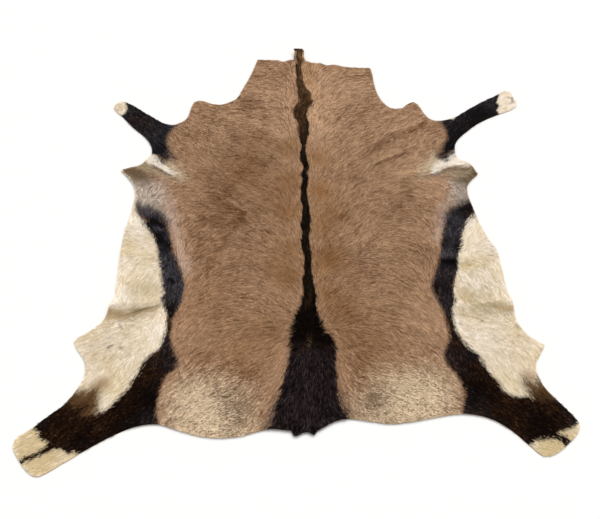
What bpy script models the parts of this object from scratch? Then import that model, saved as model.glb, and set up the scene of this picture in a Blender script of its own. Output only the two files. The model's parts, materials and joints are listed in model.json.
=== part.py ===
# A tanned oryx hide with its hair on, laid out flat as a rug: one sheet, hair side up.
# It lies on the plane z = 0 with the neck towards +Y and the rump towards -Y.
# Where it has a fold the whole sheet rises off that plane and comes down again.

from collections import namedtuple

import bmesh
import bpy
import numpy as np
from mathutils import Vector
from mathutils.geometry import delaunay_2d_cdt

# Thickness, in metres
SKIN = 0.0025
LYING_COAT = 0.0035
SHEET = SKIN + LYING_COAT
CUT_EDGE = 0.0045

# Spacing of the mesh points, in metres
EDGE_STEP = 0.013
FIELD_STEP = 0.040
FOLD_STEP = 0.022
MANE_STEP = 0.018
LEAST_GAP = 0.0075

# Colour of the coat on the back, in linear RGB, and its finish
COAT_COLOUR = (0.356, 0.209, 0.119, 1.0)
COAT_ROUGHNESS = 0.8

# The cut edge, as smooth stretches that run from one corner of the hide to the next, clockwise.
# Each row is (across, along) in metres: across is to the right of the middle line, along is
# towards the neck. A stretch starts where the one before it ends.
NECK_LEFT = [(-0.121, 0.785), (-0.090, 0.783), (-0.070, 0.773), (-0.041, 0.777), (-0.017, 0.771)]
MANE_TONGUE = [
    (-0.017, 0.790), (-0.0205, 0.814), (-0.014, 0.824), (-0.004, 0.813),
    (0.006, 0.816), (0.013, 0.807), (0.0135, 0.785), (0.020, 0.768),
]
NECK_RIGHT = [
    (0.050, 0.766), (0.078, 0.764), (0.103, 0.753), (0.138, 0.754), (0.167, 0.745),
    (0.220, 0.739), (0.274, 0.740),
]
SHOULDER_RIGHT = [
    (0.281, 0.708), (0.285, 0.655), (0.300, 0.590), (0.316, 0.559), (0.342, 0.532),
    (0.377, 0.528), (0.399, 0.547), (0.424, 0.563), (0.443, 0.552), (0.466, 0.504),
    (0.488, 0.475), (0.520, 0.468), (0.569, 0.481), (0.604, 0.504), (0.641, 0.531),
    (0.708, 0.574), (0.760, 0.604),
]
HOOF_RIGHT_UPPER = [(0.771, 0.617), (0.786, 0.618), (0.800, 0.615), (0.810, 0.604), (0.811, 0.583)]
HOOF_RIGHT_LOWER = [(0.821, 0.572), (0.821, 0.552), (0.805, 0.531), (0.751, 0.505)]
ARMPIT_RIGHT = [
    (0.704, 0.482), (0.655, 0.452), (0.616, 0.418), (0.580, 0.382), (0.565, 0.354),
    (0.563, 0.312), (0.573, 0.286), (0.600, 0.270), (0.631, 0.220),
]
FLANK_RIGHT = [
    (0.604, 0.193), (0.588, 0.167), (0.586, 0.130), (0.598, 0.066), (0.616, -0.002),
    (0.638, -0.060), (0.655, -0.092), (0.661, -0.150), (0.667, -0.240), (0.677, -0.310),
    (0.686, -0.365), (0.706, -0.400), (0.739, -0.427), (0.758, -0.440),
]
HIND_LEG_RIGHT = [
    (0.738, -0.473), (0.720, -0.503), (0.720, -0.545), (0.740, -0.589), (0.778, -0.636),
    (0.806, -0.672), (0.815, -0.700), (0.804, -0.722), (0.778, -0.746), (0.755, -0.765),
    (0.716, -0.785), (0.690, -0.783), (0.662, -0.757), (0.616, -0.712), (0.568, -0.680),
    (0.520, -0.665), (0.470, -0.661), (0.396, -0.672), (0.320, -0.686), (0.260, -0.691),
    (0.200, -0.683), (0.145, -0.676), (0.105, -0.683), (0.072, -0.700), (0.049, -0.713),
]
TAIL_LOCK_RIGHT = [(0.041, -0.724), (0.032, -0.719), (0.022, -0.715)]
TAIL_LOCK_LEFT = [(0.005, -0.719), (-0.006, -0.7265), (-0.015, -0.7265), (-0.022, -0.712)]
HIND_LEG_LEFT = [
    (-0.048, -0.709), (-0.082, -0.706), (-0.122, -0.714), (-0.172, -0.728), (-0.232, -0.733),
    (-0.292, -0.727), (-0.352, -0.711), (-0.415, -0.693), (-0.478, -0.700), (-0.545, -0.729),
    (-0.610, -0.767), (-0.680, -0.812), (-0.722, -0.839), (-0.748, -0.842), (-0.776, -0.823),
    (-0.806, -0.788), (-0.823, -0.759), (-0.818, -0.734), (-0.780, -0.706), (-0.735, -0.665),
    (-0.692, -0.628), (-0.664, -0.583), (-0.651, -0.535), (-0.659, -0.492), (-0.686, -0.456),
    (-0.700, -0.431),
]
FLANK_LEFT = [
    (-0.688, -0.415), (-0.652, -0.390), (-0.620, -0.358), (-0.605, -0.320), (-0.596, -0.275),
    (-0.594, -0.195), (-0.596, -0.090), (-0.591, -0.010), (-0.580, 0.060), (-0.573, 0.125),
    (-0.583, 0.170), (-0.608, 0.205), (-0.637, 0.238),
]
ARMPIT_LEFT = [
    (-0.608, 0.248), (-0.577, 0.258), (-0.548, 0.282), (-0.534, 0.313), (-0.540, 0.349),
    (-0.563, 0.385), (-0.613, 0.434), (-0.668, 0.496),
]
HOOF_LEFT = [(-0.687, 0.515), (-0.701, 0.537), (-0.691, 0.556), (-0.675, 0.565), (-0.657, 0.563)]
SHOULDER_LEFT = [
    (-0.603, 0.527), (-0.545, 0.484), (-0.505, 0.456), (-0.470, 0.448), (-0.436, 0.463),
    (-0.417, 0.490), (-0.409, 0.530), (-0.398, 0.561), (-0.378, 0.569), (-0.342, 0.557),
    (-0.303, 0.547), (-0.262, 0.562), (-0.232, 0.588), (-0.211, 0.645), (-0.190, 0.700),
    (-0.164, 0.789),
]
STRETCHES = [
    NECK_LEFT, MANE_TONGUE, NECK_RIGHT, SHOULDER_RIGHT, HOOF_RIGHT_UPPER, HOOF_RIGHT_LOWER,
    ARMPIT_RIGHT, FLANK_RIGHT, HIND_LEG_RIGHT, TAIL_LOCK_RIGHT, TAIL_LOCK_LEFT, HIND_LEG_LEFT,
    FLANK_LEFT, ARMPIT_LEFT, HOOF_LEFT, SHOULDER_LEFT,
]

# A section is one row across a fold or across the mane, in metres: where its crest is, how far
# it reaches to each side, and how high it stands.
Section = namedtuple("Section", "across along reach height")

# The longer hair of the mane, which runs down the neck and back and opens out over the rump.
MANE = [
    Section(-0.004, 0.828, 0.018, 0.004),
    Section(-0.008, 0.766, 0.013, 0.006),
    Section(-0.006, 0.710, 0.013, 0.007),
    Section(0.002, 0.630, 0.014, 0.008),
    Section(0.019, 0.578, 0.020, 0.009),
    Section(0.022, 0.542, 0.024, 0.009),
    Section(0.006, 0.498, 0.023, 0.009),
    Section(0.008, 0.455, 0.017, 0.008),
    Section(0.013, 0.414, 0.017, 0.008),
    Section(0.012, 0.354, 0.011, 0.007),
    Section(0.010, 0.317, 0.008, 0.006),
    Section(0.020, 0.270, 0.012, 0.006),
    Section(0.018, 0.180, 0.010, 0.006),
    Section(0.015, 0.125, 0.011, 0.006),
    Section(0.021, 0.070, 0.013, 0.006),
    Section(0.022, -0.050, 0.015, 0.006),
    Section(0.026, -0.200, 0.015, 0.006),
    Section(0.028, -0.285, 0.020, 0.006),
    Section(0.024, -0.345, 0.037, 0.005),
    Section(0.035, -0.400, 0.066, 0.005),
    Section(0.035, -0.432, 0.070, 0.002),
    Section(0.034, -0.470, 0.070, 0.005),
    Section(0.032, -0.560, 0.080, 0.005),
    Section(0.029, -0.650, 0.096, 0.005),
    Section(0.032, -0.740, 0.118, 0.004),
]

# The folds, each as its sections from end to end.
NECK_CREST = [
    Section(-0.004, 0.830, 0.060, 0.012),
    Section(-0.005, 0.740, 0.066, 0.016),
    Section(0.012, 0.600, 0.075, 0.018),
    Section(0.010, 0.470, 0.072, 0.014),
    Section(0.012, 0.330, 0.062, 0.008),
    Section(0.018, 0.120, 0.052, 0.003),
    Section(0.022, -0.050, 0.045, 0.000),
]
NECK_DIP_LEFT = [
    Section(-0.250, 0.615, 0.040, 0.007),
    Section(-0.195, 0.590, 0.045, 0.008),
    Section(-0.110, 0.575, 0.040, 0.000),
]
NECK_HEM_RIGHT = [
    Section(0.060, 0.785, 0.040, 0.002),
    Section(0.150, 0.760, 0.045, 0.006),
    Section(0.240, 0.745, 0.040, 0.002),
]
SHOULDER_CREASE = [
    Section(0.180, 0.270, 0.035, 0.000),
    Section(0.232, 0.322, 0.036, 0.008),
    Section(0.290, 0.372, 0.036, 0.011),
    Section(0.360, 0.428, 0.036, 0.008),
    Section(0.430, 0.470, 0.036, 0.000),
]
SHOULDER_WRINKLE = [
    Section(0.210, 0.245, 0.026, 0.000),
    Section(0.280, 0.287, 0.028, 0.006),
    Section(0.360, 0.322, 0.026, 0.005),
    Section(0.420, 0.350, 0.024, 0.000),
]
ARMPIT_FOLD_RIGHT = [
    Section(0.624, 0.247, 0.034, 0.008),
    Section(0.558, 0.250, 0.036, 0.010),
    Section(0.465, 0.240, 0.034, 0.008),
    Section(0.345, 0.212, 0.030, 0.000),
]
ARMPIT_FOLD_LEFT = [
    Section(-0.548, 0.288, 0.032, 0.008),
    Section(-0.490, 0.254, 0.036, 0.010),
    Section(-0.425, 0.212, 0.032, 0.006),
    Section(-0.360, 0.178, 0.030, 0.000),
]
FLANK_FOLD_RIGHT = [
    Section(0.360, -0.058, 0.030, 0.000),
    Section(0.420, -0.082, 0.032, 0.006),
    Section(0.472, -0.112, 0.034, 0.011),
    Section(0.524, -0.131, 0.034, 0.010),
    Section(0.600, -0.145, 0.030, 0.000),
]
BELLY_FOLD_RIGHT = [
    Section(0.465, -0.322, 0.030, 0.000),
    Section(0.560, -0.308, 0.036, 0.009),
    Section(0.640, -0.300, 0.038, 0.012),
    Section(0.690, -0.296, 0.038, 0.013),
]
BELLY_FOLD_LEFT = [
    Section(-0.615, -0.308, 0.042, 0.014),
    Section(-0.540, -0.314, 0.044, 0.015),
    Section(-0.478, -0.300, 0.036, 0.011),
    Section(-0.430, -0.286, 0.030, 0.004),
    Section(-0.390, -0.280, 0.028, 0.000),
]
BACK_WRINKLE = [
    Section(0.050, -0.070, 0.028, 0.000),
    Section(0.100, -0.112, 0.034, 0.006),
    Section(0.150, -0.150, 0.030, 0.000),
]
FOLDS = [
    NECK_CREST, NECK_DIP_LEFT, NECK_HEM_RIGHT, SHOULDER_CREASE, SHOULDER_WRINKLE,
    ARMPIT_FOLD_RIGHT, ARMPIT_FOLD_LEFT, FLANK_FOLD_RIGHT, BELLY_FOLD_RIGHT, BELLY_FOLD_LEFT,
    BACK_WRINKLE,
]

# Places across a fold or the mane that get a row of mesh points, in shares of its reach
ACROSS_A_CREST = (-1.0, -0.5, 0.0, 0.5, 1.0)


def clear_scene():
    for thing in list(bpy.data.objects):
        bpy.data.objects.remove(thing, do_unlink=True)


def smooth_stretch(corner, turns, step):
    """Points about a step apart on a curve through a corner and the turns after it, less the last."""
    knots = np.array([corner] + turns)
    before = 2 * knots[0] - knots[1]
    after = 2 * knots[-1] - knots[-2]
    knots = np.vstack([before, knots, after])
    points = []
    for p0, p1, p2, p3 in zip(knots, knots[1:], knots[2:], knots[3:]):
        count = max(1, round(np.linalg.norm(p2 - p1) / step))
        # Each span has its own pace, the root of its length, so tight turns don't overshoot.
        t1 = np.linalg.norm(p1 - p0) ** 0.5
        t2 = t1 + np.linalg.norm(p2 - p1) ** 0.5
        t3 = t2 + np.linalg.norm(p3 - p2) ** 0.5
        for share in range(count):
            t = t1 + (t2 - t1) * share / count
            a1 = p0 + (p1 - p0) * t / t1
            a2 = p1 + (p2 - p1) * (t - t1) / (t2 - t1)
            a3 = p2 + (p3 - p2) * (t - t2) / (t3 - t2)
            b1 = a1 + (a2 - a1) * t / t2
            b2 = a2 + (a3 - a2) * (t - t1) / (t3 - t1)
            points.append(b1 + (b2 - b1) * (t - t1) / (t2 - t1))
    return points


def cut_edge():
    """The whole cut edge of the hide, as a closed ring of points."""
    ring = []
    corner = STRETCHES[-1][-1]
    for turns in STRETCHES:
        ring += smooth_stretch(corner, turns, EDGE_STEP)
        corner = turns[-1]
    return np.array(ring)


def inside(points, ring):
    """Which of the points lie inside the ring."""
    x, y = points[:, :1], points[:, 1:]
    x1, y1 = ring[:, 0], ring[:, 1]
    x2, y2 = np.roll(x1, -1), np.roll(y1, -1)
    crosses = (y1 > y) != (y2 > y)
    rise = np.where(y2 == y1, 1.0, y2 - y1)
    reached = x < x1 + (y - y1) / rise * (x2 - x1)
    return (crosses & reached).sum(1) % 2 == 1


def crest_points(sections, step):
    """Points on the crest line of a fold or of the mane, with the reach and height there."""
    rows = np.array(sections)
    found = [rows[0]]
    for first, last in zip(rows, rows[1:]):
        count = max(1, round(np.linalg.norm(last[:2] - first[:2]) / step))
        found += [first + (last - first) * k / count for k in range(1, count + 1)]
    return np.array(found)


def rise_of(points, sections):
    """How much of a fold's height is under each point, as shares of its reach, and its height there."""
    best = np.full(len(points), np.inf)
    share = np.full(len(points), 1.0)
    height = np.zeros(len(points))
    rows = np.array(sections)
    for first, last in zip(rows, rows[1:]):
        way = last[:2] - first[:2]
        t = ((points - first[:2]) @ way / (way @ way)).clip(0, 1)[:, None]
        here = first + (last - first) * t
        off = np.linalg.norm(points - here[:, :2], axis=1)
        nearer = off < best
        best = np.where(nearer, off, best)
        share = np.where(nearer, off / here[:, 2], share)
        height = np.where(nearer, here[:, 3], height)
    return share.clip(0, 1), height


def underside(points):
    """Height of the flesh side above the floor: nothing, but for the folds."""
    lift = np.zeros(len(points))
    for sections in FOLDS:
        share, height = rise_of(points, sections)
        lift += np.where(share < 1, height * np.cos(share * np.pi / 2) ** 2, 0)
    return lift


def thickness(points):
    """Skin with its coat, which stands higher along the mane."""
    share, height = rise_of(points, MANE)
    return SHEET + height * (1 - share**2)


def crest_rows(sections, step):
    """Mesh points in rows along and beside a crest line."""
    line = crest_points(sections, step)
    way = np.gradient(line[:, :2], axis=0)
    way /= np.linalg.norm(way, axis=1)[:, None]
    aside = np.stack([-way[:, 1], way[:, 0]], 1)
    rows = [line[:, :2] + aside * line[:, 2:3] * share for share in ACROSS_A_CREST]
    return np.vstack(rows)


def field_points(ring):
    """Staggered rows of points over the whole hide."""
    low, high = ring.min(0), ring.max(0)
    rows = []
    for k, y in enumerate(np.arange(low[1], high[1], FIELD_STEP * 3**0.5 / 2)):
        xs = np.arange(low[0], high[0], FIELD_STEP) + FIELD_STEP / 2 * (k % 2)
        rows.append(np.stack([xs, np.full(len(xs), y)], 1))
    return np.vstack(rows)


def mesh_points(ring):
    """The ring and the points inside it, none of them too close together."""
    wanted = [crest_rows(MANE, MANE_STEP)]
    wanted += [crest_rows(sections, FOLD_STEP) for sections in FOLDS]
    fine = np.vstack(wanted)
    kept = list(ring)
    for points, gap in ((fine, LEAST_GAP), (field_points(ring), FIELD_STEP * 0.45)):
        for point in points[inside(points, ring)]:
            if np.linalg.norm(np.array(kept) - point, axis=1).min() > gap:
                kept.append(point)
    return np.array(kept)


def build_sheet(name):
    """The hide as one closed sheet: its flesh side, its hair side and its cut edge."""
    ring = cut_edge()
    middle = (ring.min(0) + ring.max(0)) / 2
    points = mesh_points(ring)
    flat, _, faces, *_ = delaunay_2d_cdt(
        [Vector(p) for p in points], [], [list(range(len(ring)))], 1, 1e-6
    )
    flat = np.array(flat)
    under = underside(flat)
    over = under + thickness(flat)
    over[: len(ring)] = under[: len(ring)] + CUT_EDGE

    sheet = bmesh.new()
    low = [sheet.verts.new((x, y, 0)) for x, y in flat - middle]
    for face in faces:
        sheet.faces.new([low[k] for k in face])
    raised = bmesh.ops.extrude_face_region(sheet, geom=sheet.faces[:], use_keep_orig=True)
    high = [part for part in raised["geom"] if isinstance(part, bmesh.types.BMVert)]
    place = {(v.co.x, v.co.y): k for k, v in enumerate(low)}
    for vert in high:
        vert.co.z = over[place[vert.co.x, vert.co.y]]
    for vert, height in zip(low, under):
        vert.co.z = height
    bmesh.ops.recalc_face_normals(sheet, faces=sheet.faces[:])

    mesh = bpy.data.meshes.new(name)
    sheet.to_mesh(mesh)
    sheet.free()
    mesh.shade_smooth()
    mesh.set_sharp_from_angle(angle=0.9)
    hide = bpy.data.objects.new(name, mesh)
    bpy.context.scene.collection.objects.link(hide)
    return hide


def hair_on_leather():
    """The coat's plain colour and finish."""
    material = bpy.data.materials.new("tanned oryx hide, hair on")
    material.use_nodes = True
    surface = material.node_tree.nodes["Principled BSDF"]
    surface.inputs["Base Color"].default_value = COAT_COLOUR
    surface.inputs["Roughness"].default_value = COAT_ROUGHNESS
    surface.inputs["Metallic"].default_value = 0.0
    return material


def main():
    clear_scene()
    hide = build_sheet("hide")
    hide.data.materials.append(hair_on_leather())


main()
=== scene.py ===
import functools
import json
import math
from collections import namedtuple

import bpy
import numpy as np
from bpy.props import FloatProperty, FloatVectorProperty, IntProperty, PointerProperty
from mathutils import Color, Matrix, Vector
from mathutils.bvhtree import BVHTree
from mathutils.geometry import delaunay_2d_cdt

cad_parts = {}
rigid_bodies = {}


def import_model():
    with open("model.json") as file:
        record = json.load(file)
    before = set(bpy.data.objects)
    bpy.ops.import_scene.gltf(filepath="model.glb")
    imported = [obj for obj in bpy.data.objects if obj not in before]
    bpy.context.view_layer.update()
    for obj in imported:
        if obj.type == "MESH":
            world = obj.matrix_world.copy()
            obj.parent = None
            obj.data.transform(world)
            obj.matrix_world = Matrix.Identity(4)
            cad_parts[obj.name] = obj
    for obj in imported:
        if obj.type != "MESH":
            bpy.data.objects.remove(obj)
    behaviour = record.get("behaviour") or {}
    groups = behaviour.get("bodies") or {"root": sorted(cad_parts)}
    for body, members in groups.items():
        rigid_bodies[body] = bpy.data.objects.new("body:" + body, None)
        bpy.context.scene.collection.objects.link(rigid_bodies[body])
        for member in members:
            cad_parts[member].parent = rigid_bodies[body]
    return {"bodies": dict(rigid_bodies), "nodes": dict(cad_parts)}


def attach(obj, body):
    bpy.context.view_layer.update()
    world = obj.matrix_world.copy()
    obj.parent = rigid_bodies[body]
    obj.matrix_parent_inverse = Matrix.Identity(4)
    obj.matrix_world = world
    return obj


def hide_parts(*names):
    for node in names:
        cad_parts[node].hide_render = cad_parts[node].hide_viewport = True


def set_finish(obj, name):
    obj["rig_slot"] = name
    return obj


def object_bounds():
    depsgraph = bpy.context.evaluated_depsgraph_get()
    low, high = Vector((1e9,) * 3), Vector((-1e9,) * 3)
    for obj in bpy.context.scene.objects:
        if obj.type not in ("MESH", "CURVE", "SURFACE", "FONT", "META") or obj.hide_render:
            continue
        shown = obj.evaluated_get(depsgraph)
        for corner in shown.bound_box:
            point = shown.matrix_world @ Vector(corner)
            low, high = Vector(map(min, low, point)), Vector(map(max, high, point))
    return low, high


bl_info = {
    "name": "Oryx hide",
    "version": (1, 0, 0),
    "blender": (4, 5, 0),
    "location": "3D Viewport > Sidebar > Oryx hide",
    "description": "Dresses an oryx hide: its leather, short coat, mane, blaze and tail locks",
    "category": "Add Mesh",
}

# The hide lies on the plane z = 0, hair side up, with the neck towards +Y. All sizes are in metres, but
# for the turns of the marks' borders, which are in millimetres. A place is (across, along): across to the
# right of the middle line, along towards the neck.
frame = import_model()
CAD_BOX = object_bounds()
SOLID = frame["nodes"]["hide"]
BODY = next(iter(frame["bodies"]))
SLOT = "coat"
SEED = 7

# Even grids that the lie, the marks and the height of the hide are worked out on
CHART_MARGIN = 0.03
CHART_LOW = np.array(CAD_BOX[0][:2]) - CHART_MARGIN
CHART_HIGH = np.array(CAD_BOX[1][:2]) + CHART_MARGIN
CHART_STEP = 0.004
STREAK_STEP = 0.002

# The coat's grain: how far a fine streak and a tuft run to both sides, and in what steps a tuft does,
# how wide a tuft, a cloud and the field that the thin lines come from are, and how narrow a thin line
# is against that field's spread
STREAK_RUN = 0.008
TUFT_RUN = 0.009
TUFT_STEP = 0.003
TUFT_WIDTH = 0.0030
CLOUD_WIDTH = 0.014
VEIN_WIDTH = 0.005
VEIN_SHARE = 0.16

# How the solid is read: a face whose normal rises or falls less than this is a wall, points this near
# are one, and the rays that find the flesh side start this far below the floor
WALL_TILT = 0.3
SAME_POINT = 1e-5
RAY_START = 1.0

# The solid's flat facets are blurred over this reach
FACET_BLUR = 0.009

# On the side away from the neck a crease has only this share of its reach, and is steeper
LEE = 0.5

# Points on the smooth border of a mark are this far apart, and its turns are in thousandths of a metre
BORDER_STEP = 0.012
MILLIMETRES = 1000

# A patch fades out as a bell curve whose spread is this share of its reach
PATCH_SPREAD = 0.6

# The short coat in pieces that are each small enough to handle: the places where it is divided
COAT_PIECES = ("coat_shoulders", "coat_left_side", "coat_right_side", "coat_rump_left", "coat_rump_right")
SHOULDER_LINE = 0.262
RUMP_LINE = -0.300
MIDDLE_LINE = 0.02

# Roots keep this far from the cut edge
ROOT_MARGIN = 0.0006

# Where the legs' shorter hair begins, and over how far it sets in
LEG_ACROSS = 0.50
FRONT_LEG_ALONG = 0.30
HIND_LEG_ALONG = -0.62
LEG_FADE = 0.10

# Where the neck's longer hair begins, and over how far it sets in
NECK_ALONG = 0.40
NECK_FADE = 0.20

# A hair's mark is read at this share of its length, where it is seen most
SEEN_AT = 0.6

# How high hairs lie at their middle, at least and at most, and how much single points vary
LEAST_LOFT = 0.0008
MOST_LOFT = 0.0064
LIFT_STRAY = 0.0004

# How far single hairs and tufts turn from the lie, and how far hairs roll about their own length
HAIR_TURN = math.radians(8)
TUFT_TURN = math.radians(3)
HAIR_ROLL = math.radians(14)
STREAK_ROLL = math.radians(5)
LONG_HAIR_ROLL = math.radians(25)

# The neck's longer hair shows its streaks more, from this place on, and sets in over this length
COMBING_ALONG = 0.25
COMBING_FADE = 0.30

# How a long hair rises from its root and comes down again, as shares of its height
LIFT_SHAPE = np.array([0.0, 0.75, 1.0, 0.95, 0.75])

# The blaze's hairs keep their roots this far from the cut edge, and their tips reach this far past it
BLAZE_MARGIN = 0.002
BLAZE_OVERHANG = 0.004

# How far tips stray over the mark's border, how far a tuft moves them, and how far out a root may be
BLAZE_STRAY = 0.007
BLAZE_TUFT = 0.004
BLAZE_OUTSIDE = 0.002

# How high the blaze's hairs lie at least, and how much higher they stand where they are grown long
BLAZE_LIFT = 0.0012
BLAZE_CROWN = 0.0050

# Above this place, towards the whorl, the blaze is deep brown-black, and it turns to that over this length
BLAZE_TURN_ALONG = -0.47
BLAZE_TURN_FADE = 0.07

# A thin line of golden hair runs out of the whorl: how far it reaches across and along
GOLD_LINE = (0.006, 0.015)

# How high a tail lock's hairs lie at least, and how much higher its middle stands
LOCK_LIFT = 0.0015
LOCK_CROWN = 0.005

# The skin is skived thinner towards its cut edge: over this width, down to this share of its thickness
SKIVE_WIDTH = 0.006
SKIVED_SHARE = 0.6

# Tanned hair is dry, and gleams far less than its IOR alone would make it
HAIR_IOR = 1.55
HAIR_GLOSS = 0.02

# How much darker and brighter single hairs are, and how much a hair's root and tip are, for the short and
# for the long hair, the darker roots being painted shade between the hairs, how dark the black coat is where
# its deep mark is full, and how dark and white underfur is, its darkness being painted shade under the hairs
SHORT_TINTS = (0.74, 1.26)
SHORT_ROOT_TO_TIP = (0.74, 1.08)
LONG_TINTS = (0.50, 1.50)
LONG_ROOT_TO_TIP = (0.60, 1.15)
DEEP_RANGE = (1.0, 0.30)
UNDERFUR_SHADE = (0.60, 1.0)

# Nap about 2 mm across and mottling about 60 mm across, how far the nap stands up, and how much of the
# pale colour the mottling brings in, at least and at most
NAP_SIZE = 0.002
NAP_RISE = 0.0006
MOTTLE_SIZE = 0.0625
MOTTLE_RANGE = (0.0, 0.5)

# The studio: the floor's width, the way to the sun and how wide it looks, where the camera stands across
# and how wide its sensor is in millimetres
FLOOR_SPAN = 40
SUN_WAY = (0.28, 0.75, 1.0)
SUN_WIDTH = math.radians(45)
CAMERA_ACROSS = 0.001
SENSOR_WIDTH = 36.0

# Creases and ridges in the leather, finer than the solid's folds. A row is a place on the crest, how far
# it reaches to each side, and how high it stands, or how deep it lies where that is below nothing.
CREASES = [
    # The belly flap's fold on the left: a sharp crest, and the line where it meets the floor again
    [
        (-0.612, -0.300, 0.016, 0.0025), (-0.560, -0.292, 0.018, 0.0035),
        (-0.510, -0.300, 0.016, 0.0030), (-0.470, -0.284, 0.018, 0.0035),
        (-0.436, -0.276, 0.014, 0.0010),
    ],
    [
        (-0.595, -0.350, 0.014, -0.0010), (-0.540, -0.330, 0.014, -0.0030),
        (-0.500, -0.316, 0.012, -0.0030), (-0.450, -0.306, 0.012, -0.0010),
    ],
    # The same fold on the right, lower and with two lines below it
    [
        (0.500, -0.300, 0.014, 0.0010), (0.570, -0.292, 0.016, 0.0030),
        (0.640, -0.288, 0.018, 0.0035), (0.684, -0.288, 0.016, 0.0030),
    ],
    [
        (0.480, -0.334, 0.012, -0.0010), (0.560, -0.342, 0.012, -0.0025),
        (0.620, -0.346, 0.012, -0.0010),
    ],
    # Armpits: the skin draws together in one narrow line that runs in from the edge
    [
        (-0.555, 0.282, 0.014, 0.0010), (-0.523, 0.263, 0.015, 0.0025),
        (-0.480, 0.238, 0.014, 0.0025), (-0.440, 0.210, 0.012, 0.0000),
    ],
    [
        (0.612, 0.262, 0.014, 0.0010), (0.560, 0.259, 0.015, 0.0030),
        (0.510, 0.246, 0.014, 0.0030), (0.465, 0.219, 0.012, 0.0015),
        (0.390, 0.212, 0.012, 0.0000),
    ],
    # The right shoulder's two long creases
    [
        (0.205, 0.290, 0.014, 0.0000), (0.262, 0.344, 0.016, -0.0030),
        (0.320, 0.390, 0.016, -0.0035), (0.400, 0.450, 0.014, 0.0000),
    ],
    [
        (0.220, 0.250, 0.012, 0.0000), (0.285, 0.284, 0.014, 0.0025),
        (0.365, 0.322, 0.012, 0.0000),
    ],
    # Across the right stripe
    [
        (0.380, -0.050, 0.016, 0.0000), (0.430, -0.072, 0.016, 0.0020),
        (0.480, -0.100, 0.016, 0.0030), (0.530, -0.116, 0.014, 0.0020),
        (0.600, -0.130, 0.014, 0.0000),
    ],
    [
        (0.400, -0.078, 0.012, 0.0000), (0.466, -0.130, 0.012, -0.0030),
        (0.528, -0.146, 0.012, -0.0030), (0.590, -0.150, 0.012, 0.0000),
    ],
    # The neck's dip on the left of the mane, and shallow waves along the cut neck
    [
        (-0.245, 0.582, 0.018, -0.0020), (-0.200, 0.562, 0.020, -0.0040),
        (-0.150, 0.556, 0.018, -0.0020), (-0.100, 0.560, 0.016, 0.0000),
    ],
    [
        (-0.090, 0.780, 0.022, 0.0030), (-0.075, 0.730, 0.024, 0.0000),
    ],
    [
        (0.090, 0.765, 0.024, 0.0035), (0.085, 0.700, 0.026, 0.0000),
    ],
    [
        (0.215, 0.740, 0.024, 0.0030), (0.225, 0.680, 0.024, 0.0000),
    ],
    # Small puckers on the back and on the flaps
    [
        (-0.470, 0.500, 0.020, 0.0000), (-0.430, 0.440, 0.024, 0.0025),
        (-0.390, 0.400, 0.022, 0.0000),
    ],
    [
        (-0.640, -0.390, 0.014, 0.0015), (-0.575, -0.384, 0.014, 0.0020),
        (-0.520, -0.400, 0.014, 0.0000),
    ],
    [
        (0.560, -0.405, 0.014, 0.0000), (0.640, -0.388, 0.014, 0.0020),
        (0.700, -0.400, 0.014, 0.0010),
    ],
]

# The heading of the hair's tips, in degrees from +X towards +Y, on columns across and rows along.
LIE_ACROSS = (
    -0.80, -0.62, -0.50, -0.42, -0.34, -0.22, -0.10, -0.03,
    0.04, 0.11, 0.22, 0.33, 0.42, 0.49, 0.62, 0.80,
)
LIE = {
    0.78: (142, 142, 160, 170, 180, 190, 185, 105, 80, 40, 10, -15, -15, 20, 35, 35),
    0.53: (142, 142, 150, 160, 166, 185, 180, 100, 80, 47, 22, 15, 18, 25, 37, 37),
    0.33: (142, 142, 125, 143, 145, 175, 172, 102, 90, 48, 40, 35, 45, 39, 37, 37),
    0.15: (270, 270, 235, 195, 178, 165, 157, 103, 87, 54, 35, 18, -22, -45, -75, -80),
    -0.01: (268, 275, 300, 280, 215, 182, 149, 118, 89, 47, 38, -5, -45, -75, -105, -115),
    -0.17: (245, 250, 288, 280, 236, 198, 164, 135, 96, 28, -4, -30, -75, -108, -65, -60),
    -0.32: (200, 200, 215, 262, 222, 192, 163, 140, 100, 36, 3, -28, -50, -92, -20, -10),
    -0.42: (205, 205, 232, 252, 223, 209, 200, 230, 285, -60, -32, -38, -45, -80, -50, -35),
    -0.52: (225, 240, 240, 234, 222, 211, 214, 250, 275, -70, -18, -30, -40, -58, -61, -60),
    -0.65: (222, 226, 205, 240, 215, 205, 228, 245, 275, -60, -30, -22, -22, -20, -38, -45),
    -0.80: (208, 205, 205, 215, 215, 210, 230, 250, 275, -60, -30, -25, -20, -20, -30, -30),
}

# Places where the hair lies another way than the rows above say: each with its heading and its reach
BELLY_SWEEPS = [
    (0.590, 0.050, 62, 0.040), (0.560, -0.020, 52, 0.040), (0.595, -0.012, 46, 0.036),
    (0.560, -0.080, 45, 0.034), (0.600, -0.060, 18, 0.032), (0.625, -0.092, 0, 0.032),
    (0.655, -0.080, -22, 0.034), (0.546, -0.136, 32, 0.024), (0.572, -0.146, -18, 0.024),
    (0.604, -0.152, -54, 0.034), (0.650, -0.150, -68, 0.036), (0.528, -0.219, -62, 0.034),
    (0.564, -0.232, -56, 0.036), (0.615, -0.225, -70, 0.040), (0.665, -0.225, -82, 0.040),
    (0.580, -0.290, -50, 0.040), (0.650, -0.290, -60, 0.040), (0.560, -0.380, -12, 0.060),
    (0.680, -0.390, -34, 0.060), (-0.552, -0.018, 158, 0.036), (-0.521, -0.044, 165, 0.030),
    (-0.580, -0.046, 176, 0.034), (-0.572, -0.088, 204, 0.034), (-0.505, -0.086, 182, 0.030),
    (-0.468, -0.140, 188, 0.026), (-0.505, -0.157, 216, 0.032), (-0.535, -0.204, 238, 0.036),
    (-0.560, -0.150, 226, 0.034), (-0.462, -0.212, 216, 0.026), (-0.596, -0.180, 254, 0.040),
    (-0.580, -0.250, 264, 0.040), (-0.537, -0.262, 256, 0.034), (-0.490, -0.250, 246, 0.034),
    (-0.450, -0.262, 226, 0.024), (-0.540, -0.356, 196, 0.050),
]

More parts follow.
